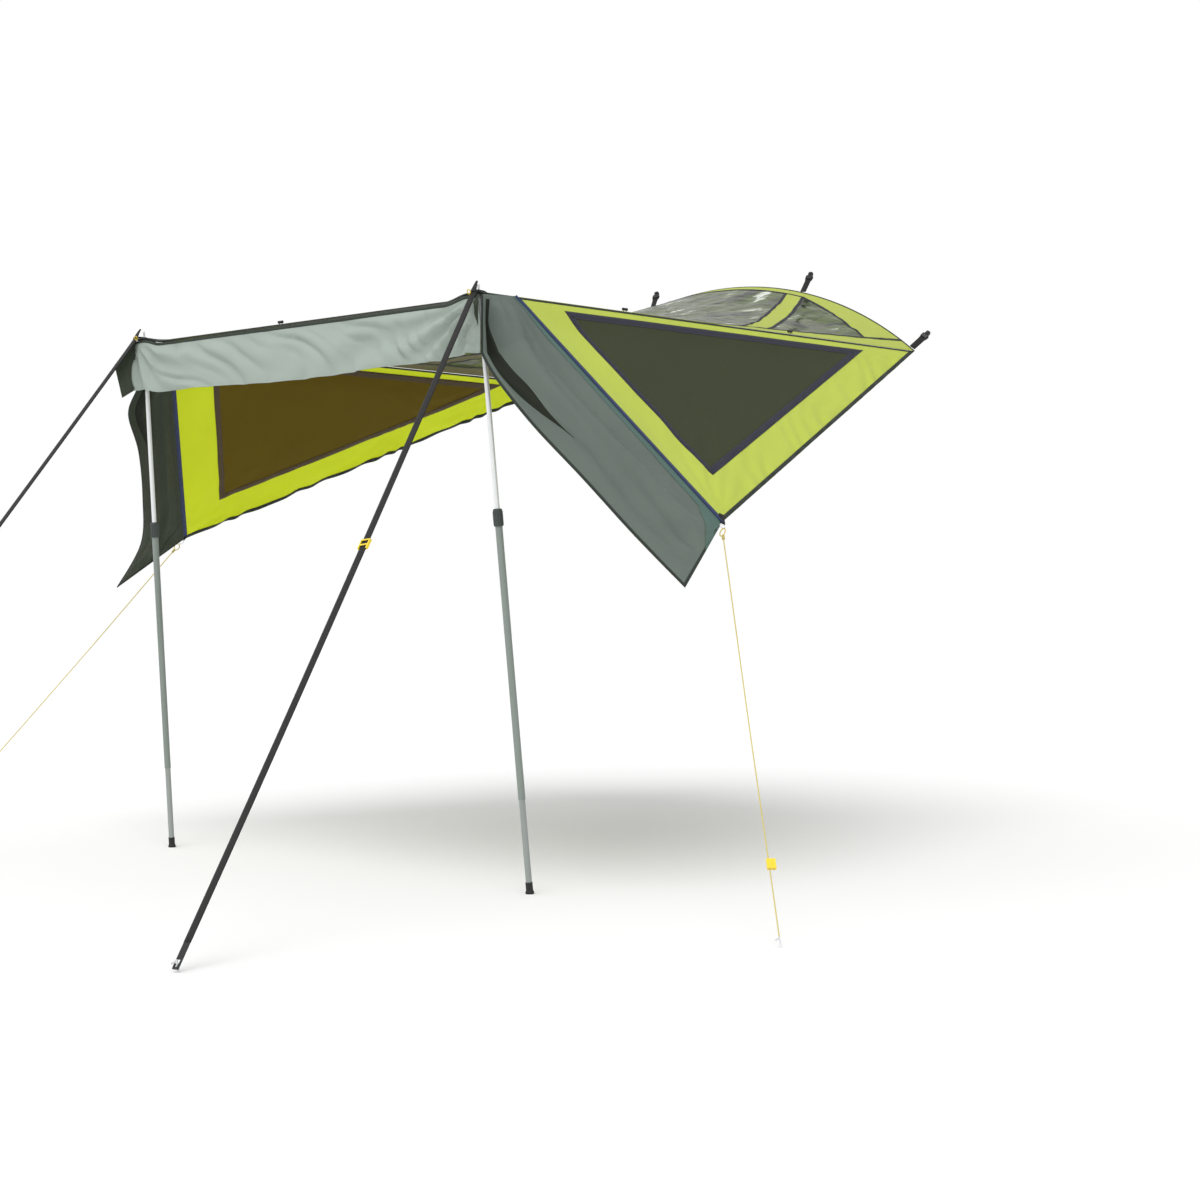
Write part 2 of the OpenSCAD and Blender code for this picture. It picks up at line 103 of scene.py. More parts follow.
# Route of the right storm strap's webbing, and of the right guy's cord
STRAP_ROUTE = [Vector(p) for p in (
    (0.875, -2.417, -0.370), (0.887, -2.471, -0.447), (0.923, -2.631, -0.671),
    (0.959, -2.792, -0.895), (1.001, -2.979, -1.154), (1.044, -3.167, -1.411),
    (1.086, -3.354, -1.666), (1.131, -3.555, -1.937), (1.176, -3.756, -2.206))]
GUY_ROUTE = [Vector(p) for p in (
    (1.414, -1.843, -1.139), (1.527, -1.949, -1.322), (1.653, -2.068, -1.526),
    (1.780, -2.188, -1.728), (1.907, -2.307, -1.928), (2.034, -2.426, -2.125),
    (2.118, -2.506, -2.256))]
# Free edge of the flaps, from the valance's end to the tip
FLAP_EDGE = {
    1: [Vector(p) for p in (
        (0.893, -2.406, -0.565), (0.955, -2.404, -0.650), (1.066, -2.352, -0.800),
        (1.200, -2.272, -0.965), (1.330, -2.180, -1.140), (1.457, -2.089, -1.300))],
    -1: [Vector(p) for p in (
        (0.893, -2.406, -0.565), (0.945, -2.404, -0.650), (1.010, -2.310, -0.780),
        (1.120, -2.210, -0.950), (1.270, -2.110, -1.120), (1.457, -2.089, -1.290))],
}


# ---- Paths ----

def smooth_path(points, per_span=8):
    """A smooth line through the points, with per_span steps between each two."""
    line = []
    last = len(points) - 1
    for i in range(last):
        here, after = points[i], points[i + 1]
        start = (after - points[max(i - 1, 0)]) / 6
        end = (points[min(i + 2, last)] - here) / 6
        span = geometry.interpolate_bezier(here, here + start, after - end, after, per_span + 1)
        line += span[:-1]
    return line + [points[-1]]


def path_length(path):
    return sum((b - a).length for a, b in zip(path, path[1:]))


def path_at(path, share):
    """Point and direction at a share of the path's length."""
    left = path_length(path) * min(max(share, 0.0), 1.0)
    for a, b in zip(path, path[1:]):
        step = (b - a).length
        if left <= step or b is path[-1]:
            return a.lerp(b, left / step), (b - a).normalized()
        left -= step
    raise ValueError("the path has no length")


def axes_matrix(origin, x, y, z):
    return Matrix((
        (x.x, y.x, z.x, origin.x), (x.y, y.y, z.y, origin.y), (x.z, y.z, z.z, origin.z),
        (0, 0, 0, 1)))


def along(origin, direction, hint=Vector((0, 0, 1))):
    """A frame at origin with its Z axis along direction and its X axis square to hint."""
    z = direction.normalized()
    x = hint.cross(z)
    if x.length < 1e-4:
        x = Vector((1, 0, 0))
    x.normalize()
    return axes_matrix(origin, x, z.cross(x), z)


# ---- Making pieces ----

def grid(cols, rows, size):
    """A flat grid over 0 to 1 in X and Y, with UVs in metres over size."""
    bm = bmesh.new()
    layer = bm.loops.layers.uv.new(UV)
    bmesh.ops.create_grid(bm, x_segments=cols, y_segments=rows, size=0.5)
    reach = max(v.co.x for v in bm.verts)
    for v in bm.verts:
        v.co = Vector((v.co.x / reach / 2 + 0.5, v.co.y / reach / 2 + 0.5, 0))
    for face in bm.faces:
        for loop in face.loops:
            loop[layer].uv = (loop.vert.co.x * size[0], loop.vert.co.y * size[1])
    return bm


def shaped(cols, rows, size, place):
    """A grid whose point at u, v is moved to place(u, v)."""
    bm = grid(cols, rows, size)
    for v in bm.verts:
        v.co = place(v.co.x, v.co.y)
    return bm


def part_of(bm, keep):
    """A copy of the mesh with only the faces whose centre passes keep."""
    part = bm.copy()
    gone = [f for f in part.faces if not keep(f.calc_center_median())]
    bmesh.ops.delete(part, geom=gone, context="FACES")
    return part


def sheet_grid(low, high, step):
    """A flat grid over a rectangle, in the sheet's own plan, with UVs in metres."""
    size = (high[0] - low[0], high[1] - low[1])
    bm = grid(round(size[0] / step), round(size[1] / step), size)
    for v in bm.verts:
        v.co = Vector((low[0] + v.co.x * size[0], low[1] + v.co.y * size[1], 0))
    return bm


def slice_line(bm, p, q, clear=False):
    """Cuts a flat sheet along the line from p to q, and with clear drops what is to its right."""
    right = Vector((q[1] - p[1], p[0] - q[0], 0)).normalized()
    bmesh.ops.bisect_plane(
        bm, geom=[*bm.verts, *bm.edges, *bm.faces], dist=1e-6,
        plane_co=(p[0], p[1], 0), plane_no=right, clear_outer=clear)


def left_by(p, q, c):
    """How far c lies to the left of the line from p to q."""
    dx, dy = q[0] - p[0], q[1] - p[1]
    return (dx * (c[1] - p[1]) - dy * (c[0] - p[0])) / math.hypot(dx, dy)


def shifted(p, q, by):
    """The line from p to q, moved by that much to its left."""
    dx, dy = q[0] - p[0], q[1] - p[1]
    s = by / math.hypot(dx, dy)
    return (p[0] - dy * s, p[1] + dx * s), (q[0] - dy * s, q[1] + dx * s)


def meet(a, b, c, d):
    """Where the line through a and b meets the line through c and d."""
    here = left_by(c, d, a)
    there = left_by(c, d, b)
    t = here / (here - there)
    return lerp(a[0], b[0], t), lerp(a[1], b[1], t)


def along_line(bm, p, q, width=0.0):
    """UVs that run along the line from p to q, so that stitches and weave follow it."""
    layer = bm.loops.layers.uv[UV]
    dx, dy = q[0] - p[0], q[1] - p[1]
    reach = math.hypot(dx, dy)
    for face in bm.faces:
        for loop in face.loops:
            c = loop.vert.co
            run = (dx * (c.x - p[0]) + dy * (c.y - p[1])) / reach
            loop[layer].uv = (run, left_by(p, q, c) + width / 2)


def lift(bm, place):
    """Moves a flat sheet's points from its plan to where place(x, y) says."""
    for v in bm.verts:
        v.co = place(v.co.x, v.co.y)
    return bm


def span_of(bm):
    """A flat sheet's width and length."""
    return [max(v.co[i] for v in bm.verts) - min(v.co[i] for v in bm.verts) for i in (0, 1)]


def area_of(bm):
    return sum(f.calc_area() for f in bm.faces)


def flip(bm):
    """Mirrors the mesh to the left side, with its faces still outwards."""
    bmesh.ops.scale(bm, vec=(-1, 1, 1), verts=bm.verts)
    bmesh.ops.reverse_faces(bm, faces=bm.faces)


def add_to(bm, part):
    """Adds the second mesh to the first and frees it."""
    mesh = bpy.data.meshes.new("part")
    part.to_mesh(mesh)
    part.free()
    bm.from_mesh(mesh)
    bpy.data.meshes.remove(mesh)


def piece(name, bm, materials, body, side=1, thick=0.0, inner=0, replaces=(), smooth=True):
    """Makes an object of the mesh, mirrored for side -1, and puts it on its body."""
    if side < 0:
        flip(bm)
    mesh = bpy.data.meshes.new(name)
    bm.to_mesh(mesh)
    bm.free()
    for material in materials:
        mesh.materials.append(material)
    mesh.polygons.foreach_set("use_smooth", [smooth] * len(mesh.polygons))
    made = bpy.data.objects.new(name, mesh)
    bpy.context.scene.collection.objects.link(made)
    if thick:
        solid = made.modifiers.new("Thickness", "SOLIDIFY")
        solid.thickness = thick
        solid.offset = 0
        solid.material_offset = inner
    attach(made, body)
    if replaces:
        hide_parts(*replaces)
    return made


def ribbon(path, facing, width, steps=None, across=2, lift=0.0):
    """A flat band along a path. facing(share) is the way that its face looks."""
    steps = steps or len(path) - 1
    length = path_length(path)

    def place(u, v):
        p, d = path_at(path, u)
        n = facing(u)
        side = d.cross(n).normalized()
        return p + side * width * (v - 0.5) + n * lift
    return shaped(steps, across, (length, width), place)


def tube(path, radius, sides=10, turns=None):
    """A closed round tube along a path; radius is a number or a function of the share."""
    size = radius if callable(radius) else lambda share: radius
    start = path_at(path, 0)[1]
    hint = Vector((0, 0, 1)) if abs(start.z) < 0.9 else Vector((1, 0, 0))
    turns = turns or len(path) - 1

    def place(u, v):
        p, d = path_at(path, u)
        x = hint.cross(d).normalized()
        a = 2 * math.pi * v
        return p + (x * math.cos(a) + d.cross(x) * math.sin(a)) * size(u)
    bm = shaped(turns, sides, (path_length(path), 2 * math.pi * size(0.5)), place)
    bmesh.ops.remove_doubles(bm, verts=bm.verts, dist=1e-6)
    bmesh.ops.holes_fill(bm, edges=[e for e in bm.edges if e.is_boundary], sides=0)
    bmesh.ops.recalc_face_normals(bm, faces=bm.faces)
    return bm


def lathe(profile, matrix, steps=32):
    """A closed turned shape from (radius, height) points, placed by the matrix."""
    bm = bmesh.new()
    bm.loops.layers.uv.new(UV)
    ring = [bm.verts.new((r, 0, h)) for r, h in profile]
    edges = [bm.edges.new(pair) for pair in zip(ring, ring[1:])]
    bmesh.ops.spin(
        bm, geom=ring + edges, cent=(0, 0, 0), axis=(0, 0, 1), angle=2 * math.pi,
        steps=steps, use_merge=True, use_duplicate=False)
    bmesh.ops.remove_doubles(bm, verts=bm.verts, dist=1e-6)
    bmesh.ops.recalc_face_normals(bm, faces=bm.faces)
    bmesh.ops.transform(bm, matrix=matrix, verts=bm.verts)
    return bm


def ring(centre, normal, radius, wire, steps=40):
    """A round wire ring."""
    corners = 12
    around = [i / corners * 2 * math.pi for i in range(corners + 1)]
    profile = [(radius + wire * math.cos(a), wire * math.sin(a)) for a in around]
    return lathe(profile, along(centre, normal), steps)


def block(bm, matrix, size, bevel=0.0):
    """Adds a box with rounded edges to the mesh."""
    made = bmesh.ops.create_cube(bm, size=1.0)["verts"]
    bmesh.ops.scale(bm, vec=size, verts=made)
    if bevel:
        edges = {e for v in made for e in v.link_edges}
        made = bmesh.ops.bevel(
            bm, geom=list(edges), offset=bevel, segments=3, profile=0.5, affect="EDGES",
            material=-1)["verts"]
    bmesh.ops.transform(bm, matrix=matrix, verts=made)
    return bm


def new_bmesh():
    bm = bmesh.new()
    bm.loops.layers.uv.new(UV)
    return bm


# ---- Materials ----

def linear(code):
    """Linear red, green and blue of a six-digit hex colour."""
    parts = [int(code[i:i + 2], 16) / 255 for i in (0, 2, 4)]
    return tuple(c / 12.92 if c <= 0.04045 else ((c + 0.055) / 1.055) ** 2.4 for c in parts)


def node(tree, kind, inputs=None, **settings):
    """A node with its settings, and its inputs set or linked."""
    made = tree.nodes.new(kind)
    for key, value in settings.items():
        setattr(made, key, value)
    for key, value in (inputs or {}).items():
        if isinstance(value, bpy.types.NodeSocket):
            tree.links.new(value, made.inputs[key])
        else:
            made.inputs[key].default_value = value
    return made


def calc(tree, operation, *values):
    """A Math node's result."""
    return node(tree, "ShaderNodeMath", dict(enumerate(values)), operation=operation).outputs[0]


def noise_of(tree, at, scale, detail, **more):
    """A Noise texture's value at that place."""
    settings = {"Vector": at, "Scale": scale, "Detail": detail, **more}
    return node(tree, "ShaderNodeTexNoise", settings).outputs[0]


def blend_colours(tree, share, a, b, kind="MIX"):
    made = node(tree, "ShaderNodeMix", data_type="RGBA", blend_type=kind)
    for index, value in ((0, share), (6, a), (7, b)):
        if isinstance(value, bpy.types.NodeSocket):
            tree.links.new(value, made.inputs[index])
        else:
            made.inputs[index].default_value = value
    return made.outputs[2]


def group(name, inputs, outputs, fill):
    """A node group, built once; fill(tree, inputs) returns its outputs."""
    if name in bpy.data.node_groups:
        return bpy.data.node_groups[name]
    tree = bpy.data.node_groups.new(name, "ShaderNodeTree")
    for socket, kind, value in inputs:
        made = tree.interface.new_socket(socket, in_out="INPUT", socket_type=kind)
        if value is not None:
            made.default_value = value
    for socket, kind in outputs:
        tree.interface.new_socket(socket, in_out="OUTPUT", socket_type=kind)
    ends = tree.nodes.new("NodeGroupInput").outputs
    results = fill(tree, ends)
    node(tree, "NodeGroupOutput", dict(zip([o[0] for o in outputs], results)))
    return tree


FLOAT, COLOUR, VECTOR = "NodeSocketFloat", "NodeSocketColor", "NodeSocketVector"


def fill_weave(tree, ins):
    """Plain weave: warp and weft pass over each other in turn, over soft tone patches."""
    at = node(tree, "ShaderNodeSeparateXYZ", {0: ins["Place"]}).outputs
    u, v = (calc(tree, "DIVIDE", at[i], ins["Pitch"]) for i in (0, 1))
    warp, weft = (
        calc(tree, "ABSOLUTE", calc(tree, "SINE", calc(tree, "MULTIPLY", x, math.pi)))
        for x in (u, v))
    cells = calc(tree, "ADD", calc(tree, "FLOOR", u), calc(tree, "FLOOR", v))
    over = calc(tree, "FLOORED_MODULO", cells, 2.0)
    under = calc(tree, "SUBTRACT", 1.0, over)
    thread = calc(
        tree, "ADD", calc(tree, "MULTIPLY", warp, over), calc(tree, "MULTIPLY", weft, under))
    patches = noise_of(tree, ins["Place"], 3.5, 3.0)
    crumple = noise_of(tree, ins["Place"], 28.0, 5.0, Roughness=0.6)
    tone = blend_colours(tree, patches, ins["Shade"], ins["Colour"])
    shade = calc(tree, "MULTIPLY_ADD", thread, 0.14, 0.90)
    colour = blend_colours(tree, 1.0, tone, node(
        tree, "ShaderNodeCombineColor", {0: shade, 1: shade, 2: shade}).outputs[0], "MULTIPLY")
    height = calc(tree, "MULTIPLY_ADD", crumple, 6.0, thread)
    rough = calc(tree, "MULTIPLY_ADD", crumple, 0.25, -0.12)
    return colour, height, rough


def fill_stitches(tree, ins):
    """Two rows of stitches, Inset from the edges of a band that is Width wide."""
    at = node(tree, "ShaderNodeSeparateXYZ", {0: ins["Place"]}).outputs
    half = calc(tree, "DIVIDE", ins["Width"], 2.0)
    off_centre = calc(tree, "ABSOLUTE", calc(tree, "SUBTRACT", at[1], half))
    row = calc(tree, "SUBTRACT", half, ins["Inset"])
    near = calc(tree, "COMPARE", off_centre, row, 0.0006)
    along_row = calc(tree, "FRACT", calc(tree, "DIVIDE", at[0], ins["Pitch"]))
    dash = calc(tree, "LESS_THAN", along_row, 0.7)
    return (calc(tree, "MULTIPLY", near, dash),)


def fill_herringbone(tree, ins):
    """The slanted ribs of woven webbing, which turn at each of its chevrons."""
    at = node(tree, "ShaderNodeSeparateXYZ", {0: ins["Place"]}).outputs
    slope = calc(tree, "PINGPONG", at[1], ins["Chevron"])
    turn = calc(tree, "DIVIDE", calc(tree, "ADD", at[0], slope), ins["Pitch"])
    rib = calc(tree, "SINE", calc(tree, "MULTIPLY", turn, 2 * math.pi))
    height = calc(tree, "MULTIPLY_ADD", rib, 0.5, 0.5)
    fuzz = noise_of(tree, ins["Place"], 90.0, 4.0)
    return height, calc(tree, "MULTIPLY_ADD", fuzz, 0.5, calc(tree, "MULTIPLY", height, 0.5))


def fill_grain(tree, ins):
    """Fine grain with long scuffs, for moulded and drawn surfaces."""
    stretched = node(
        tree, "ShaderNodeVectorMath", {0: ins["Place"], 1: ins["Stretch"]},
        operation="MULTIPLY").outputs[0]
    fine = noise_of(tree, stretched, 400.0, 3.0)
    return fine, calc(tree, "POWER", noise_of(tree, stretched, 35.0, 6.0), 2.0)


def weave_group():
    return group(
        "Plain weave",
        [("Place", VECTOR, None), ("Pitch", FLOAT, 0.0012), ("Colour", COLOUR, None),
         ("Shade", COLOUR, None)],
        [("Colour", COLOUR), ("Height", FLOAT), ("Roughness", FLOAT)], fill_weave)


def stitch_group():
    return group(
        "Stitch rows",
        [("Place", VECTOR, None), ("Width", FLOAT, 0.02), ("Inset", FLOAT, 0.003),
         ("Pitch", FLOAT, 0.0035)],
        [("Mask", FLOAT)], fill_stitches)


def herringbone_group():
    return group(
        "Herringbone webbing",
        [("Place", VECTOR, None), ("Pitch", FLOAT, 0.0022), ("Chevron", FLOAT, 0.005)],
        [("Height", FLOAT), ("Tone", FLOAT)], fill_herringbone)


def grain_group():
    return group(
        "Grain and scuffs",
        [("Place", VECTOR, None), ("Stretch", VECTOR, (1.0, 1.0, 1.0))],
        [("Height", FLOAT), ("Scuff", FLOAT)], fill_grain)


def new_material(name):
    made = bpy.data.materials.new(name)
    made.use_nodes = True
    made.node_tree.nodes.clear()
    return made, made.node_tree


def surface(tree, settings, height=None, strength=0.3, distance=0.001):
    """A Principled BSDF with its sockets set or linked, and a bump from height."""
    shader = node(tree, "ShaderNodeBsdfPrincipled", settings)
    if height is not None:
        bump = node(
            tree, "ShaderNodeBump",
            {"Height": height, "Strength": strength, "Distance": distance})
        tree.links.new(bump.outputs[0], shader.inputs["Normal"])
    return shader.outputs[0]


def place_of(tree):
    return node(tree, "ShaderNodeUVMap", uv_map=UV).outputs[0]


def output(tree, shader):
    node(tree, "ShaderNodeOutputMaterial", {"Surface": shader})


def rgba(colour, factor=1.0):
    return (*(c * factor for c in colour), 1.0)


def use(tree, shared, at, **inputs):
    """A node that uses a shared group, with its place and its other inputs."""
    return node(tree, "ShaderNodeGroup", {"Place": at, **inputs}, node_tree=shared)


def woven(tree, pitch, colour, shade):
    return use(
        tree, weave_group(), place_of(tree), Pitch=pitch, Colour=colour, Shade=shade)


def make_cloth(
        name, colour, shade=0.86, pitch=0.0012, rough=0.55, sheen=0.1, glow=0.3, bump=0.35, lit=0.0,
        gloss=0.35):
    """Coated polyester. glow is the share of light that it lets through, and lit the strength of
    painted light: an emission of the cloth's own colour that makes it glow though no lamp lights
    it.
    """
    material, tree = new_material(name)
    weave = woven(tree, pitch, rgba(colour), rgba(colour, shade))
    roughness = calc(tree, "ADD", weave.outputs["Roughness"], rough)
    front = surface(
        tree,
        {"Base Color": weave.outputs["Colour"], "Roughness": roughness, "Sheen Weight": sheen,
         "Sheen Roughness": 0.4, "Specular IOR Level": gloss,
         # Emission Strength lit is painted light: the cloth glows in its own colour
         "Emission Color": weave.outputs["Colour"], "Emission Strength": lit},
        weave.outputs["Height"], bump, 0.0006)
    through = node(tree, "ShaderNodeBsdfTranslucent", {"Color": weave.outputs["Colour"]}).outputs[0]
    output(tree, node(tree, "ShaderNodeMixShader", {0: glow, 1: front, 2: through}).outputs[0])
    return material


def make_netting(name, thread, hole, pitch=0.0022):
    """Fine insect mesh: pale threads round dark holes, with faint mottling."""
    material, tree = new_material(name)
    weave = woven(tree, pitch, rgba(thread), rgba(thread, 0.8))
    dots = node(
        tree, "ShaderNodeTexVoronoi",
        {"Vector": place_of(tree), "Scale": 1 / pitch, "Randomness": 0.05})
    open_share = calc(tree, "LESS_THAN", dots.outputs["Distance"], 0.36)
    colour = blend_colours(tree, open_share, weave.outputs["Colour"], rgba(hole))
    shader = surface(
        tree, {"Base Color": colour, "Roughness": 0.85, "Specular IOR Level": 0.15},
        calc(tree, "SUBTRACT", 1.0, open_share), 0.35, 0.0005)
    output(tree, shader)
    return material


def make_film(name, colour):
    """Clear vinyl film, creased in long streaks: the dark streaks are painted reflection and shade,
    the green is its tint, and the pale streaks are painted glints where it is also clearer.
    """
    material, tree = new_material(name)
    turned = node(
        tree, "ShaderNodeMapping",
        {"Vector": place_of(tree), "Rotation": (0, 0, 0.9), "Scale": (15.0, 3.2, 1.0)}).outputs[0]
    streak = noise_of(tree, turned, 1.0, 5.0, Roughness=0.55, Distortion=0.6)
    cloudy = noise_of(tree, place_of(tree), 7.0, 3.0)
    # dark: painted reflection and shade in the creases
    dark = node(tree, "ShaderNodeMapRange", {"Value": streak, 1: 0.47, 2: 0.62}).outputs[0]
    # clear: pale painted glints, where the film is also more see-through
    clear = node(tree, "ShaderNodeMapRange", {"Value": streak, 1: 0.415, 2: 0.34}).outputs[0]
    green = blend_colours(tree, cloudy, rgba(colour, 0.6), rgba(colour, 1.3))
    tinted = blend_colours(tree, dark, green, rgba(linear("20271a")))
    shown = blend_colours(tree, clear, tinted, rgba(linear("dfe8d8")))
    alpha = calc(tree, "MULTIPLY_ADD", clear, -0.42, 0.88)
    output(tree, surface(
        tree,
        {"Base Color": shown, "Roughness": 0.1, "Alpha": alpha, "IOR": 1.45, "Coat Weight": 0.06,
         "Coat Roughness": 0.08, "Specular IOR Level": 0.14},
        streak, 0.5, 0.01))
    return material


def make_webbing(name, colour, width=0.025, thread=0.5):
    """Woven webbing or tape, with a row of stitches inside each edge."""
    material, tree = new_material(name)
    at = place_of(tree)
    ribs = use(tree, herringbone_group(), at)
    rows = use(tree, stitch_group(), at, Width=width, Inset=width * 0.12)
    tone = blend_colours(tree, ribs.outputs["Tone"], rgba(colour, 0.65), rgba(colour, 1.35))
    stitched = blend_colours(
        tree, rows.outputs["Mask"], tone, rgba([lerp(c, 0.25, thread * 0.5) for c in colour]))
    height = calc(tree, "ADD", ribs.outputs["Height"], rows.outputs["Mask"])
    output(tree, surface(
        tree, {"Base Color": stitched, "Roughness": 0.75, "Sheen Weight": 0.04},
        height, 0.5, 0.0006))
    return material


def make_moulded(name, colour, rough=0.42, coat=0.0):
    """Moulded plastic or rubber with a fine grain and scuffed patches."""
    material, tree = new_material(name)
    at = node(tree, "ShaderNodeTexCoord").outputs["Object"]
    grain = use(tree, grain_group(), at)
    tone = blend_colours(tree, grain.outputs["Scuff"], rgba(colour), rgba(colour, 1.5))
    roughness = calc(tree, "MULTIPLY_ADD", grain.outputs["Scuff"], 0.35, rough - 0.08)
    output(tree, surface(
        tree, {"Base Color": tone, "Roughness": roughness, "Coat Weight": coat},
        grain.outputs["Height"], 0.25, 0.0004))
    return material


def make_tube_steel(name, colour, rough=0.32, metallic=1.0, coat=0.0):
    """Drawn tube with lines along its length and scuffs along it."""
    material, tree = new_material(name)
    at = node(tree, "ShaderNodeTexCoord").outputs["Object"]
    grain = use(tree, grain_group(), at, Stretch=(1.0, 1.0, 0.03))
    tone = blend_colours(tree, grain.outputs["Scuff"], rgba(colour), rgba(colour, 0.7))
    roughness = calc(tree, "MULTIPLY_ADD", grain.outputs["Scuff"], 0.4, rough - 0.08)
    output(tree, surface(
        tree,
        {"Base Color": tone, "Roughness": roughness, "Metallic": metallic, "Coat Weight": coat},
        grain.outputs["Height"], 0.12, 0.0002))
    return material


def make_cord(name, colour, fleck, pitch=0.004):
    """A braided cord, with flecks that cross round it."""
    material, tree = new_material(name)
    ribs = use(tree, herringbone_group(), place_of(tree), Pitch=pitch, Chevron=pitch * 0.8)
    tone = blend_colours(tree, ribs.outputs["Height"], rgba(fleck), rgba(colour))
    output(tree, surface(
        tree, {"Base Color": tone, "Roughness": 0.6, "Sheen Weight": 0.3},
        ribs.outputs["Height"], 0.6, 0.0008))
    return material


def darker(colour, share):
    return tuple(x * share for x in colour)


MATERIALS = {}


def make_materials(c, t):
    """Every finish, from the colours that the panel holds for the cloth and for the trim."""
    MATERIALS.update({
        "lime": make_cloth("lime_cloth", c.lime, shade=0.9, sheen=0.08, glow=0.2),
        # The wings' inner side is painted light: lime painted brighter than the outer lime, and
        # glowing by lit, for light shining through the cloth
        "lime_inner": make_cloth(
            "lime_lining_glow", c.lime_lining_glow, shade=0.88, sheen=0.02, glow=0.45, bump=0.6, lit=0.3),
        # Painted shade: the roof's underside in dark olive, for the shade under the roof
        "roof_inner": make_cloth("roof_underside_shade", c.roof_underside_shade, shade=0.8, sheen=0.05, glow=0.1),
        "grey": make_cloth("grey_cloth", c.grey, shade=0.74, rough=0.40, glow=0.06, bump=0.6),
        "teal": make_cloth("seam_strip", c.teal, shade=0.8, rough=0.45, glow=0.05),
        # Painted shade: the flaps' and the front band's inner sides, and the gussets, in a dark
        # grey-green that stands for the shade on them
        "shadow": make_cloth("lining_painted_shade", c.lining, shade=0.82, sheen=0.01, glow=0.03, gloss=0.1),
        # Painted shade: a darker copy of the painted-shade cloth for the deep fold by the flap's
        # corner
        "pleat": make_cloth(
            "pleat_painted_shade", darker(c.lining, 0.4), sheen=0.01, glow=0.02, gloss=0.1),
        # Painted light: the valance is the flaps' grey cloth painted lighter, for the light falling
        # on its front
        "sage": make_cloth("sage_cloth", c.sage, shade=0.84, rough=0.46, glow=0.15, bump=0.6),
        "mesh": make_netting("outer_mesh", c.window, darker(c.window, 0.55)),
        # Painted light: the window mesh seen from inside in a lighter olive-brown than outside, for
        # the bright light behind it
        "inner_mesh": make_netting(
            "inner_mesh", c.window_backlit, darker(c.window_backlit, 0.6)),
        "film": make_film("clear_film", c.film),
        "tape": make_webbing("edge_tape", t.tape, 0.012, 0.2),
        "brown": make_webbing("inner_binding", linear("4a3a1c"), 0.025, 0.1),
        "binding": make_webbing("window_binding", t.binding, 0.025, 0.3),
        "piping": make_webbing("seam_piping", t.piping, 0.012, 0.3),
        "webbing": make_webbing("black_webbing", t.webbing, 0.025, 0.3),
        "black": make_moulded("black_plastic", t.plastic),
        "yellow": make_moulded("yellow_plastic", t.accent, 0.35, 0.3),
        "rubber": make_moulded("black_rubber", linear("1c1c1c"), 0.7),
        "steel": make_tube_steel("light_steel", linear("eef0f0"), 0.42, 0.55),
        "painted": make_tube_steel("painted_tube", linear("87908a"), 0.45, 0.3, 0.15),
        "clamp": make_moulded("clamp_plastic", linear("343b39"), 0.5),
        "lower": make_tube_steel("lower_tube", linear("a0a6a3"), 0.4, 0.7),
        "guy": make_cord("guy_cord", c.guy, darker(c.guy, 0.7)),
        "bungee_black": make_cord("black_elastic", t.webbing, linear("2a2c2c")),
        "bungee": make_cord("yellow_elastic", t.accent, darker(t.accent, 0.6)),
    })


# ---- The roof's shape ----

def edge_x(y):
    return lerp(REAR_HALF, FRONT_HALF, -y / DEPTH)


def field_x(y):
    return edge_x(y) - SIDE_BAND


def arch_z(x):
    return math.sqrt(ARCH_R ** 2 - x * x) - ARCH_R


# Plan lines of the right half's seams: bands, dividers and clear panels
DIVIDER_FOOT = (field_x(SKYLIGHT_Y), SKYLIGHT_Y)
DIVIDER_HEAD = (SKYLIGHT_HALF, -REAR_BAND)
PANEL_FOOT = (field_x(-0.8736), -0.8736)
PANEL_HEAD = (SKYLIGHT_HALF + DIVIDER_W, -REAR_BAND)
PANEL_SIDE = (field_x(-REAR_BAND_SIDE), -REAR_BAND_SIDE)
SIDE_SEAM = ((field_x(-DEPTH), -DEPTH), (field_x(0), 0))


def fan(x, y, spread, reach, seed):
    """Pulls in the cloth that fan out from a corner at 0, 0."""
    r = math.hypot(x, y)
    turn = math.atan2(y, x) + 0.25 * noise.noise(Vector((x * 3, y * 3, seed)))
    return math.sin(turn * spread + seed) * math.exp(-r / reach) * ease(r / 0.15)


def roof_relief(x, y):
    """How far the roof's cloth lies off its smooth surface: sag, corner pulls and creases."""
    look = bpy.context.scene.canopy_cloth
    t = min(max(-y / DEPTH, 0), 1)
    across = min(abs(x) / edge_x(y), 1)
    free = ease((1 - across) * 7) * ease(t * 12) * ease((1 - t) * 9)
    sag = -look.sag * math.sin(math.pi * t) * (1 - across ** 2)
    pulls = (
        fan(x - FRONT_HALF, y + DEPTH, 24, 0.5, 1.3)
        + fan(-x - FRONT_HALF, y + DEPTH, 24, 0.5, 4.1))
    pulls += 0.7 * (fan(x - REAR_HALF, y, 20, 0.35, 2.2) + fan(-x - REAR_HALF, y, 20, 0.35, 3.7))
    crease = (
        noise.noise(Vector((x * 4.5, y * 2.0, 1.7)))
        + 0.4 * noise.noise(Vector((x * 12, y * 7, 4.1))))
    film = 0.0
    if SKYLIGHT_Y < y < -REAR_BAND:
        inside = min(y - SKYLIGHT_Y, -REAR_BAND - y, 0.06) / 0.06
        rough = abs(noise.noise(Vector((x * 9 + y * 3, y * 5, 7.7))))
        fine = abs(noise.noise(Vector((x * 23 - y * 8, y * 16, 2.9))))
        film = (0.9 - 2.4 * rough - 0.8 * fine) * ease(inside)
    return free * (sag + look.crease * (pulls + 0.8 * crease + film))


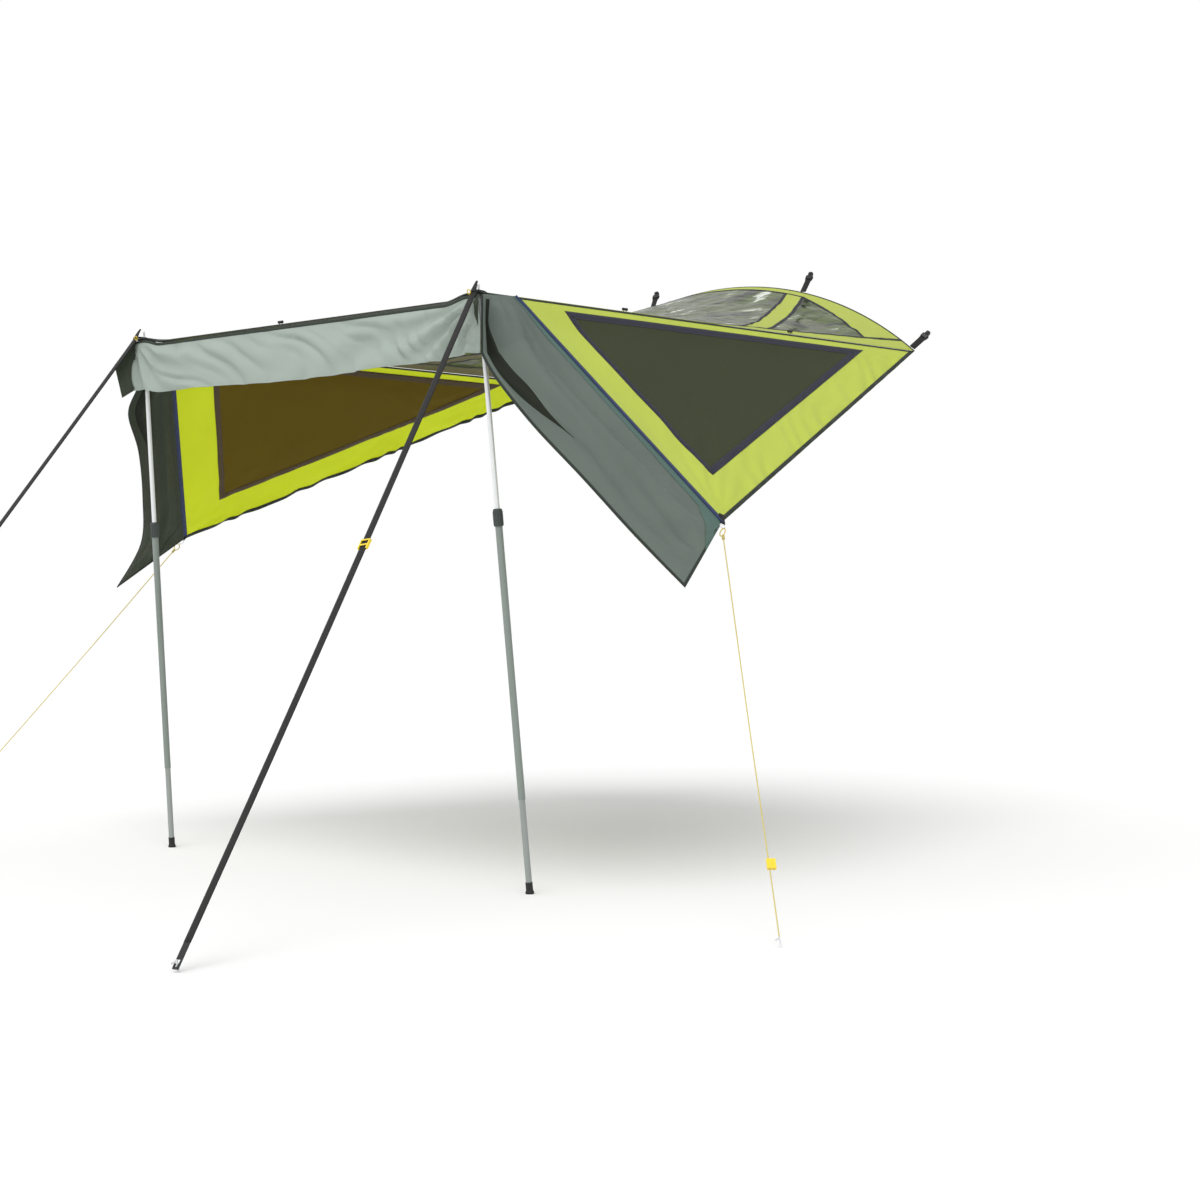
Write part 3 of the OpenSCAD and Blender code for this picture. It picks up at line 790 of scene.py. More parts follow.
def front_droop(x, y=-DEPTH):
    """How far the front edge hangs below the line between its corners."""
    held = ease((FRONT_HALF - abs(x) - 0.055) / 0.10)
    near = 1 - min((y + DEPTH) / FRONT_BAND, 1)
    return bpy.context.scene.canopy_cloth.droop * held * near * near


def roof_place(x, y):
    t = 1 + y / DEPTH
    wide = min(abs(x) * REAR_HALF / edge_x(y), REAR_HALF)
    z = lerp(FRONT_Z, REAR_Z, t) + (arch_z(wide) - REAR_Z) * t * t
    return Vector((x, y, z + roof_relief(x, y) - front_droop(x, y)))


def roof_zone(c):
    x, y = abs(c.x), c.y
    if y < BAND_Y:
        return "front_band"
    if x > field_x(y):
        return "side"
    if y > -REAR_BAND or left_by(PANEL_HEAD, PANEL_SIDE, (x, y)) > 0:
        return "rear"
    if y < SKYLIGHT_Y:
        return "front"
    if left_by(DIVIDER_FOOT, DIVIDER_HEAD, (x, y)) > 0:
        return "middle_film"
    if left_by(PANEL_FOOT, PANEL_HEAD, (x, y)) > 0:
        return "divider"
    return "side_film"


# ---- The wings' shape, in the wing's plane: a runs along its top, b down it ----

def on_wing(p):
    return (p - CORNER).dot(WING_A), (p - CORNER).dot(WING_B)


WING_LOW = on_wing(WING_CORNER)
WING_REAR = ((REAR_CORNER - CORNER).length, 0.0)
WING_TOP = (FRONT_BAND, 0.003)
SEAM_TOP = CORNER + WING_A * FRONT_BAND
TOP_LINE = shifted((0, 0), WING_REAR, WING_TOP_BAND)
FRONT_LINE = shifted(WING_TOP, WING_LOW, -WING_FRONT_BAND)
REAR_LINE = shifted(WING_LOW, WING_REAR, -WING_REAR_BAND)
WINDOW = (meet(*TOP_LINE, *FRONT_LINE), meet(*FRONT_LINE, *REAR_LINE), meet(*REAR_LINE, *TOP_LINE))


def wing_relief(a, b, seed):
    """How far the wing's cloth lies off its plane: a slack belly, pulls and edge ripples."""
    look = bpy.context.scene.canopy_cloth
    rear = abs(left_by(WING_LOW, WING_REAR, (a, b)))
    front = abs(left_by(WING_TOP, WING_LOW, (a, b)))
    held = ease(b / 0.12) * ease(front / 0.10)
    belly = 0.014 * ease(rear / 0.25)
    pulls = fan(a - WING_LOW[0], b - WING_LOW[1], 22, 0.4, seed)
    pulls += fan(a - WING_REAR[0], b - WING_REAR[1], 70, 0.6, seed + 2)
    slant = (a * 0.86 + b * 0.5) / 0.085 + 1.5 * noise.noise(Vector((a * 4, b * 4, seed)))
    ripples = math.sin(2 * math.pi * slant) * math.exp(-rear / 0.09)
    crease = noise.noise(Vector((a * 3.5, b * 6, seed + 5)))
    return held * (belly + look.crease * (0.8 * pulls + 1.1 * ripples + 0.8 * crease))


def wing_place(seed):
    def place(a, b):
        return CORNER + WING_A * a + WING_B * b + WING_N * wing_relief(a, b, seed)
    return place


# ---- The flaps' shape: u runs down the seam, v from the seam to the free edge ----

def flap_place(side):
    """The flap's surface. Its top runs from the seam to the corner, where a deep pleat hangs."""
    look = bpy.context.scene.canopy_cloth
    brow = CORNER + Vector((0.003, 0.004, -0.006))
    side_edge = [brow.lerp(FLAP_EDGE[side][0], i / 4) for i in range(4)]
    free_edge = smooth_path(FLAP_EDGE[side], 8)
    turn = 0.19

    def rim(u):
        if u < turn:
            return path_at(side_edge + [FLAP_EDGE[side][0]], u / turn)[0]
        return path_at(free_edge, (u - turn) / (1 - turn))[0]

    def place(u, v):
        seam = SEAM_TOP.lerp(WING_CORNER, u)
        p = seam.lerp(rim(u), v)
        free = math.sin(math.pi * min(max(v, 0), 1))
        wave = noise.noise(Vector((u * 2.4, v * 1.5, 3.0 * side)))
        fine = noise.noise(Vector((u * 6, v * 9, 5.0 * side)))
        folds = 0.8 * math.sin(2 * math.pi * (2.1 * v + 0.5 * wave + 0.3 * u + 0.1))
        folds += 0.35 * math.sin(2 * math.pi * (4.7 * v - 0.9 * u + 0.6 * wave)) + 0.5 * fine
        tip = math.exp(-((u - 0.93) / 0.09) ** 2) * math.sin(2 * math.pi * (u * 5 + v * 2.2))
        ends = ease(u / 0.08) * ease((1 - u) / 0.05)
        centre, wide = 0.83 - 0.20 * u, 0.075 + 0.13 * u
        valley = math.exp(-((v - centre) / wide) ** 2)
        valley *= ease(u / 0.10) * (1 - ease((u - 0.1) / 0.5))
        ridge = math.exp(-((v - centre + 2.1 * wide) / (1.1 * wide)) ** 2)
        ridge *= ease(u / 0.10) * (1 - ease((u - 0.1) / 0.6))
        out = look.fold * (free * ends * (folds + 0.7 * tip)) + 0.010 * free * ends
        out += 0.018 * ridge - 0.042 * valley
        return p - WING_N * out
    return place


# ---- Add-on: sizes and colours a user would change ----

def colour_prop(name, text, code):
    return bpy.props.FloatVectorProperty(
        name=name, description=text, default=linear(code), size=3, subtype="COLOR", min=0, max=1)


class CanopyCloth(bpy.types.PropertyGroup):
    """Sizes and colours of the cloth, film and cord."""
    lime: colour_prop("Lime", "Colour of the roof's and the wings' cloth", "cbd95c")
    # Painted light: brighter than the outer lime, for light shining through the wings' cloth
    lime_lining_glow: colour_prop("Lime lining", "Colour of the wings' inner side", "e9f428")
    # Painted shade: dark olive for the shade under the roof
    roof_underside_shade: colour_prop("Roof lining", "Colour of the roof's inner side", "68633c")
    teal: colour_prop("Seam strip", "Colour of the strip beside the flaps' piping", "58756c")
    grey: colour_prop("Grey", "Colour of the front flaps and the roof's front band", "6f7b73")
    # Painted shade: dark grey-green for the shade on the flaps' inner side
    lining: colour_prop("Lining", "Colour of the flaps' inner side", "444b3e")
    # Painted light: the flaps' grey cloth painted lighter, for the light falling on the valance
    sage: colour_prop("Sage", "Colour of the front valance", "b6c3b9")
    window: colour_prop("Window", "Colour of the window mesh outside", "474d38")
    # Painted light: lighter olive-brown for the bright light coming through the mesh
    window_backlit: colour_prop("Window lining", "Colour of the window mesh inside", "6e5c10")
    film: colour_prop("Film", "Tint of the clear roof film", "55642a")
    guy: colour_prop("Guy cord", "Colour of the thin guy cords", "dccb72")
    sag: bpy.props.FloatProperty(
        name="Roof sag", description="How far the middle of the roof hangs below its flat shape",
        default=0.018, min=0, max=0.08, subtype="DISTANCE", unit="LENGTH")
    droop: bpy.props.FloatProperty(
        name="Front droop", description="How far the front edge hangs between its corners",
        default=0.018, min=0, max=0.05, subtype="DISTANCE", unit="LENGTH")
    crease: bpy.props.FloatProperty(
        name="Crease depth", description="Depth of the creases in taut cloth",
        default=0.0045, min=0, max=0.02, subtype="DISTANCE", unit="LENGTH")
    fold: bpy.props.FloatProperty(
        name="Fold depth", description="Depth of the loose flaps' long folds",
        default=0.012, min=0, max=0.04, subtype="DISTANCE", unit="LENGTH")
    step: bpy.props.FloatProperty(
        name="Mesh step", description="Spacing of the points in the cloth",
        default=0.013, min=0.005, max=0.05, subtype="DISTANCE", unit="LENGTH")
    thickness: bpy.props.FloatProperty(
        name="Cloth thickness", description="Thickness of the coated cloth",
        default=0.0012, min=0.0003, max=0.004, subtype="DISTANCE", unit="LENGTH")


class CanopyTrim(bpy.types.PropertyGroup):
    """Sizes and colours of the tapes, webbing and hardware."""
    tape: colour_prop("Edge tape", "Colour of the tape on the cloth's edges", "1f2a20")
    binding: colour_prop("Window binding", "Colour of the binding round the windows", "1c1e30")
    piping: colour_prop("Piping", "Colour of the piping on the flaps' seams", "2c3760")
    webbing: colour_prop("Webbing", "Colour of the storm straps", "070707")
    plastic: colour_prop("Plastic", "Colour of the clips, hooks and toggles", "111213")
    accent: colour_prop("Accent", "Colour of the sliders, runners and loops", "e3c81e")
    tape_width: bpy.props.FloatProperty(
        name="Tape width", description="Width of the tape on the edges and seams",
        default=0.012, min=0.004, max=0.04, subtype="DISTANCE", unit="LENGTH")
    binding_width: bpy.props.FloatProperty(
        name="Binding width", description="Width of the binding round the windows",
        default=0.025, min=0.008, max=0.05, subtype="DISTANCE", unit="LENGTH")
    raise_by: bpy.props.FloatProperty(
        name="Tape thickness", description="Thickness of tape and cloth together",
        default=0.0034, min=0.001, max=0.01, subtype="DISTANCE", unit="LENGTH")


class CanopyStage(bpy.types.PropertyGroup):
    """The floor, the light and the lens."""
    floor: colour_prop("Floor", "Colour of the floor", "fafafa")
    key: bpy.props.FloatProperty(
        name="Key light", description="Strength of the main soft light", default=1.7, min=0)
    fill: bpy.props.FloatProperty(
        name="Fill light", description="Strength of the fill light", default=0.8, min=0)
    sky: bpy.props.FloatProperty(
        name="Surround", description="Strength of the light from all round", default=0.6, min=0)
    lens: bpy.props.FloatProperty(
        name="Lens", description="Focal length of the camera", default=61.02, min=10, unit="CAMERA")


# ---- Operators ----

class CANOPY_OT_finishes(bpy.types.Operator):
    """Mix the finishes of the cloth, film, webbing and hardware"""
    bl_idname = "canopy.finishes"
    bl_label = "Finishes"

    def execute(self, context):
        make_materials(context.scene.canopy_cloth, context.scene.canopy_trim)
        return {"FINISHED"}


class CANOPY_OT_camera(bpy.types.Operator):
    """Set the camera at a low three-quarter view from the front right"""
    bl_idname = "canopy.camera"
    bl_label = "Camera"

    def execute(self, context):
        lens = bpy.data.cameras.new("Camera")
        lens.lens = context.scene.canopy_stage.lens
        lens.sensor_width = 36.0
        lens.clip_end = 200.0
        camera = bpy.data.objects.new("Camera", lens)
        camera.location = (5.357, -6.953, -1.332)
        camera.rotation_euler = (math.radians(89.943), 0.0, math.radians(41.12))
        context.scene.collection.objects.link(camera)
        context.scene.camera = camera
        return {"FINISHED"}


class CANOPY_OT_storm_straps(bpy.types.Operator):
    """Make both storm straps of flat webbing, with their heads and eyelets"""
    bl_idname = "canopy.storm_straps"
    bl_label = "Storm straps"

    def execute(self, context):
        webbing, thick = 0.025, 0.003
        across = (EYE - STRAP_ROUTE[0])
        for name, side in SIDES:
            body = f"storm_{name}"
            path = smooth_path(STRAP_ROUTE, 10)
            flat = Vector((1, 0, 0)).cross(path_at(path, 0.5)[1]).normalized()
            strap = piece(
                f"storm_strap_webbing_{name}", ribbon(path, lambda u: flat, webbing, 120, 4),
                [MATERIALS["webbing"]], body, side, thick,
                replaces=[f"storm_strap_{name}"])
            top = [EYE + Vector((0, 0, 0.006)) - across.normalized() * -0.016,
                   EYE + Vector((0, 0, 0.006)), STRAP_ROUTE[0] + Vector((0, 0, 0.001))]
            head = piece(
                f"strap_head_webbing_{name}",
                ribbon(smooth_path(top, 8), lambda u: Vector((0, 0, 1)), webbing * 1.15, 16, 4),
                [MATERIALS["webbing"]], body, side, thick * 0.8,
                replaces=[f"strap_head_{name}"])
            grommet = lathe(
                [(0.0062, -0.002), (0.0075, -0.003), (0.0115, -0.0022), (0.0115, 0.0022),
                 (0.0075, 0.003), (0.0062, 0.002), (0.0062, -0.002)],
                along(EYE + Vector((0, 0, 0.0065)), Vector((0, 0, 1))))
            eyelet = piece(
                f"strap_eyelet_{name}", grommet, [MATERIALS["steel"]], body, side)
            over = [STRAP_ROUTE[0] + Vector((0.001, -0.006, -0.004)),
                    Vector((0.874, -2.411, -0.352)),
                    Vector((0.872, -2.402, -0.338))]
            tip = piece(
                f"strap_tip_fold_{name}",
                shaped(10, 4, (0.05, webbing), lambda u, v: path_at(over, u)[0] + Vector(
                    ((v - 0.5) * webbing * (1 - 0.75 * u), 0, 0))),
                [MATERIALS["webbing"]], body, side, thick)
            pull = piece(
                f"strap_pull_loop_{name}",
                ring(STRAP_ROUTE[0] + Vector((-0.012, -0.012, -0.004)), Vector((0, 1, 0.3)),
                     0.007, 0.0016, 24),
                [MATERIALS["bungee"]], body, side)
            line = [mirrored(p, side) for p in path]
            path_length(path)
        return {"FINISHED"}


class CANOPY_OT_sliders(bpy.types.Operator):
    """Make the yellow sliders that tighten the storm straps"""
    bl_idname = "canopy.sliders"
    bl_label = "Strap sliders"

    def execute(self, context):
        path = smooth_path(STRAP_ROUTE, 10)
        low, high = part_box("strap_slider_right")
        middle = (low + high) / 2
        here, way = min(
            (path_at(path, i / 400) for i in range(401)), key=lambda at: (at[0] - middle).length)
        flat = Vector((1, 0, 0)).cross(way).normalized()
        at = axes_matrix(here, way.cross(flat).normalized() * -1, flat, way)
        for name, side in SIDES:
            bm = new_bmesh()
            parts = [((x, 0, 0), (0.0042, 0.0090, 0.034)) for x in (-0.0160, 0.0160)]
            parts += [((0, y, z), (0.030, 0.0028, 0.0050)) for y, z in
                      ((0.0046, 0.0135), (-0.0046, 0.004), (0.0046, -0.0065), (-0.0046, -0.0135))]
            parts += [((0, 0.0062 + 0.001 * i, -0.0165 - 0.0022 * i), (0.026, 0.0022, 0.0030))
                      for i in range(3)]
            for place, size in parts:
                block(bm, at @ Matrix.Translation(place), size, 0.0008)
            piece(
                f"strap_slider_frame_{name}", bm, [MATERIALS["yellow"]], f"slider_{name}",
                side, replaces=[f"strap_slider_{name}"], smooth=False)
        return {"FINISHED"}


class CANOPY_OT_guys(bpy.types.Operator):
    """Make both guys of thin cord, with their elastic loops and knots"""
    bl_idname = "canopy.guys"
    bl_label = "Guys"

    def execute(self, context):
        radius, coil_r = 0.002, 0.0038
        start = (GUY_ROUTE[1] - GUY_ROUTE[0]).normalized()
        for name, side in SIDES:
            body = f"guy_{name}"
            path = smooth_path(GUY_ROUTE, 12)
            cord = piece(
                f"guy_line_{name}", tube(path, radius, 10, 90), [MATERIALS["guy"]], body,
                side, replaces=[f"guy_cord_{name}"])
            loop = ring(GUY_ROUTE[0] - start * 0.020, WING_N.cross(start), 0.013, 0.0017)
            loop = piece(
                f"guy_loop_ring_{name}", loop, [MATERIALS["bungee"]], body, side,
                replaces=[f"guy_loop_{name}"])
            side_way = along(GUY_ROUTE[0], start)
            coil = [
                side_way @ Vector((
                    coil_r * math.cos(i * 0.7), coil_r * math.sin(i * 0.7), i * 0.00045 - 0.007))
                for i in range(37)]
            knot = piece(
                f"guy_knot_{name}", tube(coil, 0.0017, 8), [MATERIALS["guy"]], body,
                side)
            line = [mirrored(p, side) for p in path]
            path_length(path)
        return {"FINISHED"}


class CANOPY_OT_roof(bpy.types.Operator):
    """Make the roof: lime cloth, grey front band, clear panels and their seam tapes"""
    bl_idname = "canopy.roof"
    bl_label = "Roof"

    def execute(self, context):
        cloth, trim = context.scene.canopy_cloth, context.scene.canopy_trim
        half = trim.tape_width / 2
        plan = sheet_grid((-REAR_HALF, -DEPTH), (REAR_HALF, 0), cloth.step)
        seams = [
            ((-1, BAND_Y), (1, BAND_Y)), ((-1, SKYLIGHT_Y), (1, SKYLIGHT_Y)),
            ((-1, -REAR_BAND), (1, -REAR_BAND))]
        slants = [
            SIDE_SEAM, (DIVIDER_FOOT, DIVIDER_HEAD), (PANEL_FOOT, PANEL_HEAD),
            (PANEL_HEAD, PANEL_SIDE)]
        for side in (1, -1):
            edge = ((side * FRONT_HALF, -DEPTH), (side * REAR_HALF, 0))
            slice_line(plan, *(edge if side > 0 else edge[::-1]), clear=True)
            seams += [tuple((side * p[0], p[1]) for p in line) for line in slants]
        for seam in seams:
            for by in (-half, 0, half):
                slice_line(plan, *shifted(*seam, by))
        slice_line(plan, (-1, -trim.tape_width), (1, -trim.tape_width))
        slice_line(plan, (-1, trim.tape_width - DEPTH), (1, trim.tape_width - DEPTH))

        def tape(name, lines, keep, material="tape"):
            for index, line in enumerate(lines):
                strip = part_of(plan, lambda c: keep(c, line))
                along_line(strip, *line, trim.tape_width)
                piece(
                    f"{name}_{index + 1}", lift(strip, roof_place), [MATERIALS[material]], "canopy",
                    thick=trim.raise_by)

        def near(c, line):
            return abs(left_by(*line, c)) < half

        def film_edge(c, line):
            same_side = c.x * (line[0][0] + line[1][0]) > 0
            return near(c, line) and same_side and SKYLIGHT_Y - half < c.y < -REAR_BAND + half and (
                abs(c.x) < field_x(c.y))

        def ends_at(point):
            return [line for line in seams if line[1] in (point, (-point[0], point[1]))]

        tape("front_seam_tape", [seams[0]],
             lambda c, line: near(c, line) and abs(c.x) < edge_x(c.y))
        tape("panel_front_tape", [seams[1]],
             lambda c, line: near(c, line) and abs(c.x) < field_x(c.y))
        tape("panel_rear_tape", [seams[2]],
             lambda c, line: near(c, line) and abs(c.x) < PANEL_HEAD[0], "binding")
        dividers = [line for line in seams if abs(line[0][1]) > 0.8 and line[1][1] == -REAR_BAND
                    and line[0][1] != line[1][1]]
        tape("divider_tape", dividers, film_edge, "binding")
        tape("side_seam_tape", ends_at((field_x(0), 0)),
             lambda c, line: near(c, line) and c.x * line[0][0] > 0 and c.y > BAND_Y)
        tape("corner_panel_tape", ends_at(PANEL_SIDE),
             lambda c, line: near(c, line) and c.x * line[0][0] > 0 and abs(c.x) > PANEL_HEAD[0]
             and abs(c.x) < field_x(c.y), "binding")
        tape("rear_edge_tape", [((1, -half), (-1, -half))], lambda c, line: c.y > -trim.tape_width)
        tape("front_edge_tape", [((-1, half - DEPTH), (1, half - DEPTH))],
             lambda c, line: c.y < trim.tape_width - DEPTH)

        lime = {"side", "rear", "front", "divider"}
        sheets = [
            ("roof_cloth", lambda c: roof_zone(c) in lime, ["lime", "roof_inner"], "lime_cloth",
             ["roof_front_panel", "roof_side_band_left", "roof_side_band_right",
              "roof_divider_left", "roof_divider_right", "roof_rear_band"]),
            # The front band's underside is the painted-shade cloth
            ("roof_front_band_cloth", lambda c: roof_zone(c) == "front_band",
             ["grey", "shadow"], "grey_cloth", ["roof_front_band"]),
            ("skylight_middle_film", lambda c: roof_zone(c) == "middle_film", ["film"],
             "clear_film", ["skylight_middle"]),
            ("skylight_left_film", lambda c: roof_zone(c) == "side_film" and c.x < 0, ["film"],
             "clear_film", ["skylight_left"]),
            ("skylight_right_film", lambda c: roof_zone(c) == "side_film" and c.x > 0, ["film"],
             "clear_film", ["skylight_right"])]
        for name, keep, material, slot, nodes in sheets:
            part = part_of(plan, keep)
            thick = cloth.thickness * (0.5 if "film" in material else 1)
            area = area_of(part)
            finishes = [MATERIALS[m] for m in material]
            made = piece(
                name, lift(part, roof_place), finishes, "canopy", thick=thick,
                inner=len(finishes) - 1, replaces=nodes)
        plan.free()
        return {"FINISHED"}


class CANOPY_OT_valance(bpy.types.Operator):
    """Make the valance that hangs along the front edge"""
    bl_idname = "canopy.valance"
    bl_label = "Front valance"

    def execute(self, context):
        cloth = context.scene.canopy_cloth
        low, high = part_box("front_valance")
        width, drop = high.x - low.x, high.z - low.z
        cols, rows = round(width / 0.008), round(drop / 0.008)
        # The farthest that a fold may reach back, where the poles swing
        most = 0.006

        def relief(x, down):
            pulls = 1.6 * fan(high.x - x, -down, 19, 0.5, 0.8)
            pulls += 1.3 * fan(x - low.x, -down, 15, 0.3, 2.1)
            slant = (x - 1.5 * down) / 0.13 + 1.6 * noise.noise(Vector((x * 3, down * 5, 6.0)))
            folds = 1 - 2 * abs(math.sin(math.pi * slant)) ** 0.7
            loose = noise.noise(Vector((x * 5 - down * 9, down * 6, 9)))
            return ease(down / 0.05) * (1.2 * pulls + 1.1 * folds * (0.5 + loose) + 1.1 * loose)

        def place(u, v):
            x, down = low.x + u * width, v * drop
            scallop = 0.006 * math.sin(math.pi * u * 3) * v
            z = high.z - down + scallop - front_droop(x)
            out = cloth.crease * 2.8 * relief(x, down)
            back = most * math.tanh(max(out, 0) / most)
            return Vector((x, -DEPTH - 0.002 + back + min(out, 0), z))

        made = piece(
            "front_valance_cloth", shaped(cols, rows, (width, drop), place), [MATERIALS["sage"]],
            "canopy", thick=cloth.thickness, replaces=["front_valance"])
        for name, at, tall in (("valance_top_tape", 0.0, 0.009), ("valance_hem", 0.97, 0.006)):
            share = tall / drop
            strip = shaped(cols, 3, (width, tall), lambda u, v: place(u, at + v * share))
            piece(
                name, strip, [MATERIALS["tape" if at == 0 else "sage"]], "canopy",
                thick=0.003)
        return {"FINISHED"}


class CANOPY_OT_wings(bpy.types.Operator):
    """Make both side wings: lime frame, mesh window, bindings and edge tapes"""
    bl_idname = "canopy.wings"
    bl_label = "Side wings"

    def execute(self, context):
        cloth, trim = context.scene.canopy_cloth, context.scene.canopy_trim
        binding = trim.binding_width / 2
        for name, side in SIDES:
            seed = 3.0 + side
            place = wing_place(seed)
            plan = sheet_grid((WING_TOP[0], WING_TOP[1]), (WING_REAR[0], WING_LOW[1]), cloth.step)
            slice_line(plan, WING_LOW, WING_TOP, clear=True)
            slice_line(plan, WING_REAR, WING_LOW, clear=True)
            lines = [(WINDOW[i], WINDOW[(i + 1) % 3]) for i in range(3)]
            inward = 1 if left_by(*lines[0], WINDOW[2]) > 0 else -1
            for line in lines:
                for by in (-binding, 0, binding):
                    slice_line(plan, *shifted(*line, by))
            rear_hem = (WING_REAR, WING_LOW)
            front_hem = (WING_LOW, WING_TOP)
            slice_line(plan, *shifted(*rear_hem, 0.014))
            slice_line(plan, *shifted(*front_hem, 0.016))
            slice_line(plan, (0, 0.010), (3, 0.010))

            def depth(c):
                return min(inward * left_by(*line, c) for line in lines)

            window = part_of(plan, lambda c: depth(c) > 0)
            border = part_of(plan, lambda c: depth(c) <= 0)
            for part in (border, window):
                span_of(part)
                area_of(part)
            for index, line in enumerate(lines):
                strip = part_of(plan, lambda c: abs(depth(c)) < binding
                                and abs(inward * left_by(*line, c) - depth(c)) < 1e-9)
                along_line(strip, *line, trim.binding_width)
                piece(
                    f"window_binding_{name}_{index + 1}", lift(strip, place),
                    [MATERIALS["brown"], MATERIALS["binding"]], "canopy", side,
                    trim.raise_by, 1)
            for label, line, wide in (
                    ("wing_hem", rear_hem, 0.014), ("wing_seam_tape", front_hem, 0.016)):
                strip = part_of(plan, lambda c: 0 < left_by(*line, c) < wide)
                along_line(strip, *line)
                piece(
                    f"{label}_{name}", lift(strip, place),
                    [MATERIALS["tape" if label == "wing_hem" else "piping"]], "canopy",
                    side, trim.raise_by)
            strip = part_of(plan, lambda c: c.y < 0.010)
            along_line(strip, (0, 0), (3, 0))
            piece(
                f"wing_top_tape_{name}", lift(strip, place), [MATERIALS["tape"]], "canopy",
                side, trim.raise_by)
            # The inner side's lime is painted light, bright and glowing as if lit through
            frame_piece = piece(
                f"wing_cloth_{name}", lift(border, place),
                [MATERIALS["lime_inner"], MATERIALS["lime"]], "canopy", side,
                cloth.thickness, 1, replaces=[f"wing_frame_{name}"])
            screen = piece(
                f"wing_window_{name}", lift(window, place),
                [MATERIALS["inner_mesh"], MATERIALS["mesh"]], "canopy", side,
                cloth.thickness, 1, replaces=[f"wing_mesh_{name}"])
            plan.free()
        return {"FINISHED"}


class CANOPY_OT_flaps(bpy.types.Operator):
    """Make both loose front flaps, with the piping on their seams and their bound edges"""
    bl_idname = "canopy.flaps"
    bl_label = "Front flaps"

    def execute(self, context):
        cloth, trim = context.scene.canopy_cloth, context.scene.canopy_trim

        def pleat_centre(u):
            return 0.84 - 0.24 * u

        def pleat_width(u):
            return (0.10 + 0.14 * u) * (1 - ease((u - 0.55) / 0.45)) + 0.004

        for name, side in SIDES:
            place = flap_place(side)
            length = (WING_CORNER - SEAM_TOP).length
            wide = 0.30
            bm = shaped(110, 34, (length, wide), place)
            area = area_of(bm)
            # The flap's inner side is the painted-shade cloth
            flap = piece(
                f"front_flap_{name}", bm, [MATERIALS["shadow"], MATERIALS["grey"]], "canopy",
                side, cloth.thickness, 1, replaces=[f"wing_flap_{name}"])
            hem = trim.tape_width * 0.7

            def trimming(label, cols, rows, size, at, finishes):
                return piece(
                    f"{label}_{name}", shaped(cols, rows, size, at),
                    [MATERIALS[m] for m in finishes], "canopy", side, trim.raise_by,
                    len(finishes) - 1)

            extras = [
                trimming("flap_hem", 110, 3, (length, hem),
                         lambda u, v: place(u, 1 - (1 - v) * hem / wide), ["tape"]),
                trimming("flap_tip_hem", 24, 3, (wide, hem),
                         lambda u, v: place(1 - v * hem / length, u), ["tape"]),
                # A dark strip laid in the pleat's valley: painted shade of the fold
                trimming("flap_pleat_shade", 60, 10, (0.5, 0.06),
                         lambda u, v: place(
                             0.015 + 0.5 * u, pleat_centre(0.5 * u) + (v - 0.5) * pleat_width(u)),
                         ["pleat", "pleat"]),
                trimming("flap_seam_strip", 110, 4, (length, 0.03),
                         lambda u, v: place(u, 0.012 + v * 0.075), ["shadow", "teal"]),
                trimming("flap_tip_patch", 16, 16, (0.10, 0.12),
                         lambda u, v: place(0.90 + 0.1 * u, (0.05 + 0.40 * u) * v),
                         ["shadow", "teal"])]
            seam = [place(i / 60, 0.006) - WING_N * 0.003 for i in range(61)]
            extras.append(piece(
                f"flap_piping_{name}", tube(seam, 0.0045, 8), [MATERIALS["piping"]], "canopy",
                side))
        return {"FINISHED"}


def plate(outline, matrix, thick, bevel=0.0006):
    """A flat plate with rounded edges from an outline in its own plane."""
    bm = new_bmesh()
    face = bm.faces.new([bm.verts.new((x, y, 0)) for x, y in outline])
    made = bmesh.ops.extrude_face_region(bm, geom=[face])["geom"]
    top = [v for v in made if isinstance(v, bmesh.types.BMVert)]
    bmesh.ops.translate(bm, vec=(0, 0, thick), verts=top)
    bmesh.ops.recalc_face_normals(bm, faces=bm.faces)
    bmesh.ops.bevel(
        bm, geom=[e for e in bm.edges if e.calc_face_angle(0) > 0.6], offset=bevel, segments=2,
        profile=0.5, affect="EDGES", material=-1)
    layer = bm.loops.layers.uv[UV]
    for item in bm.faces:
        for loop in item.loops:
            loop[layer].uv = (loop.vert.co.x, loop.vert.co.y)
    bmesh.ops.transform(bm, matrix=matrix, verts=bm.verts)
    return bm


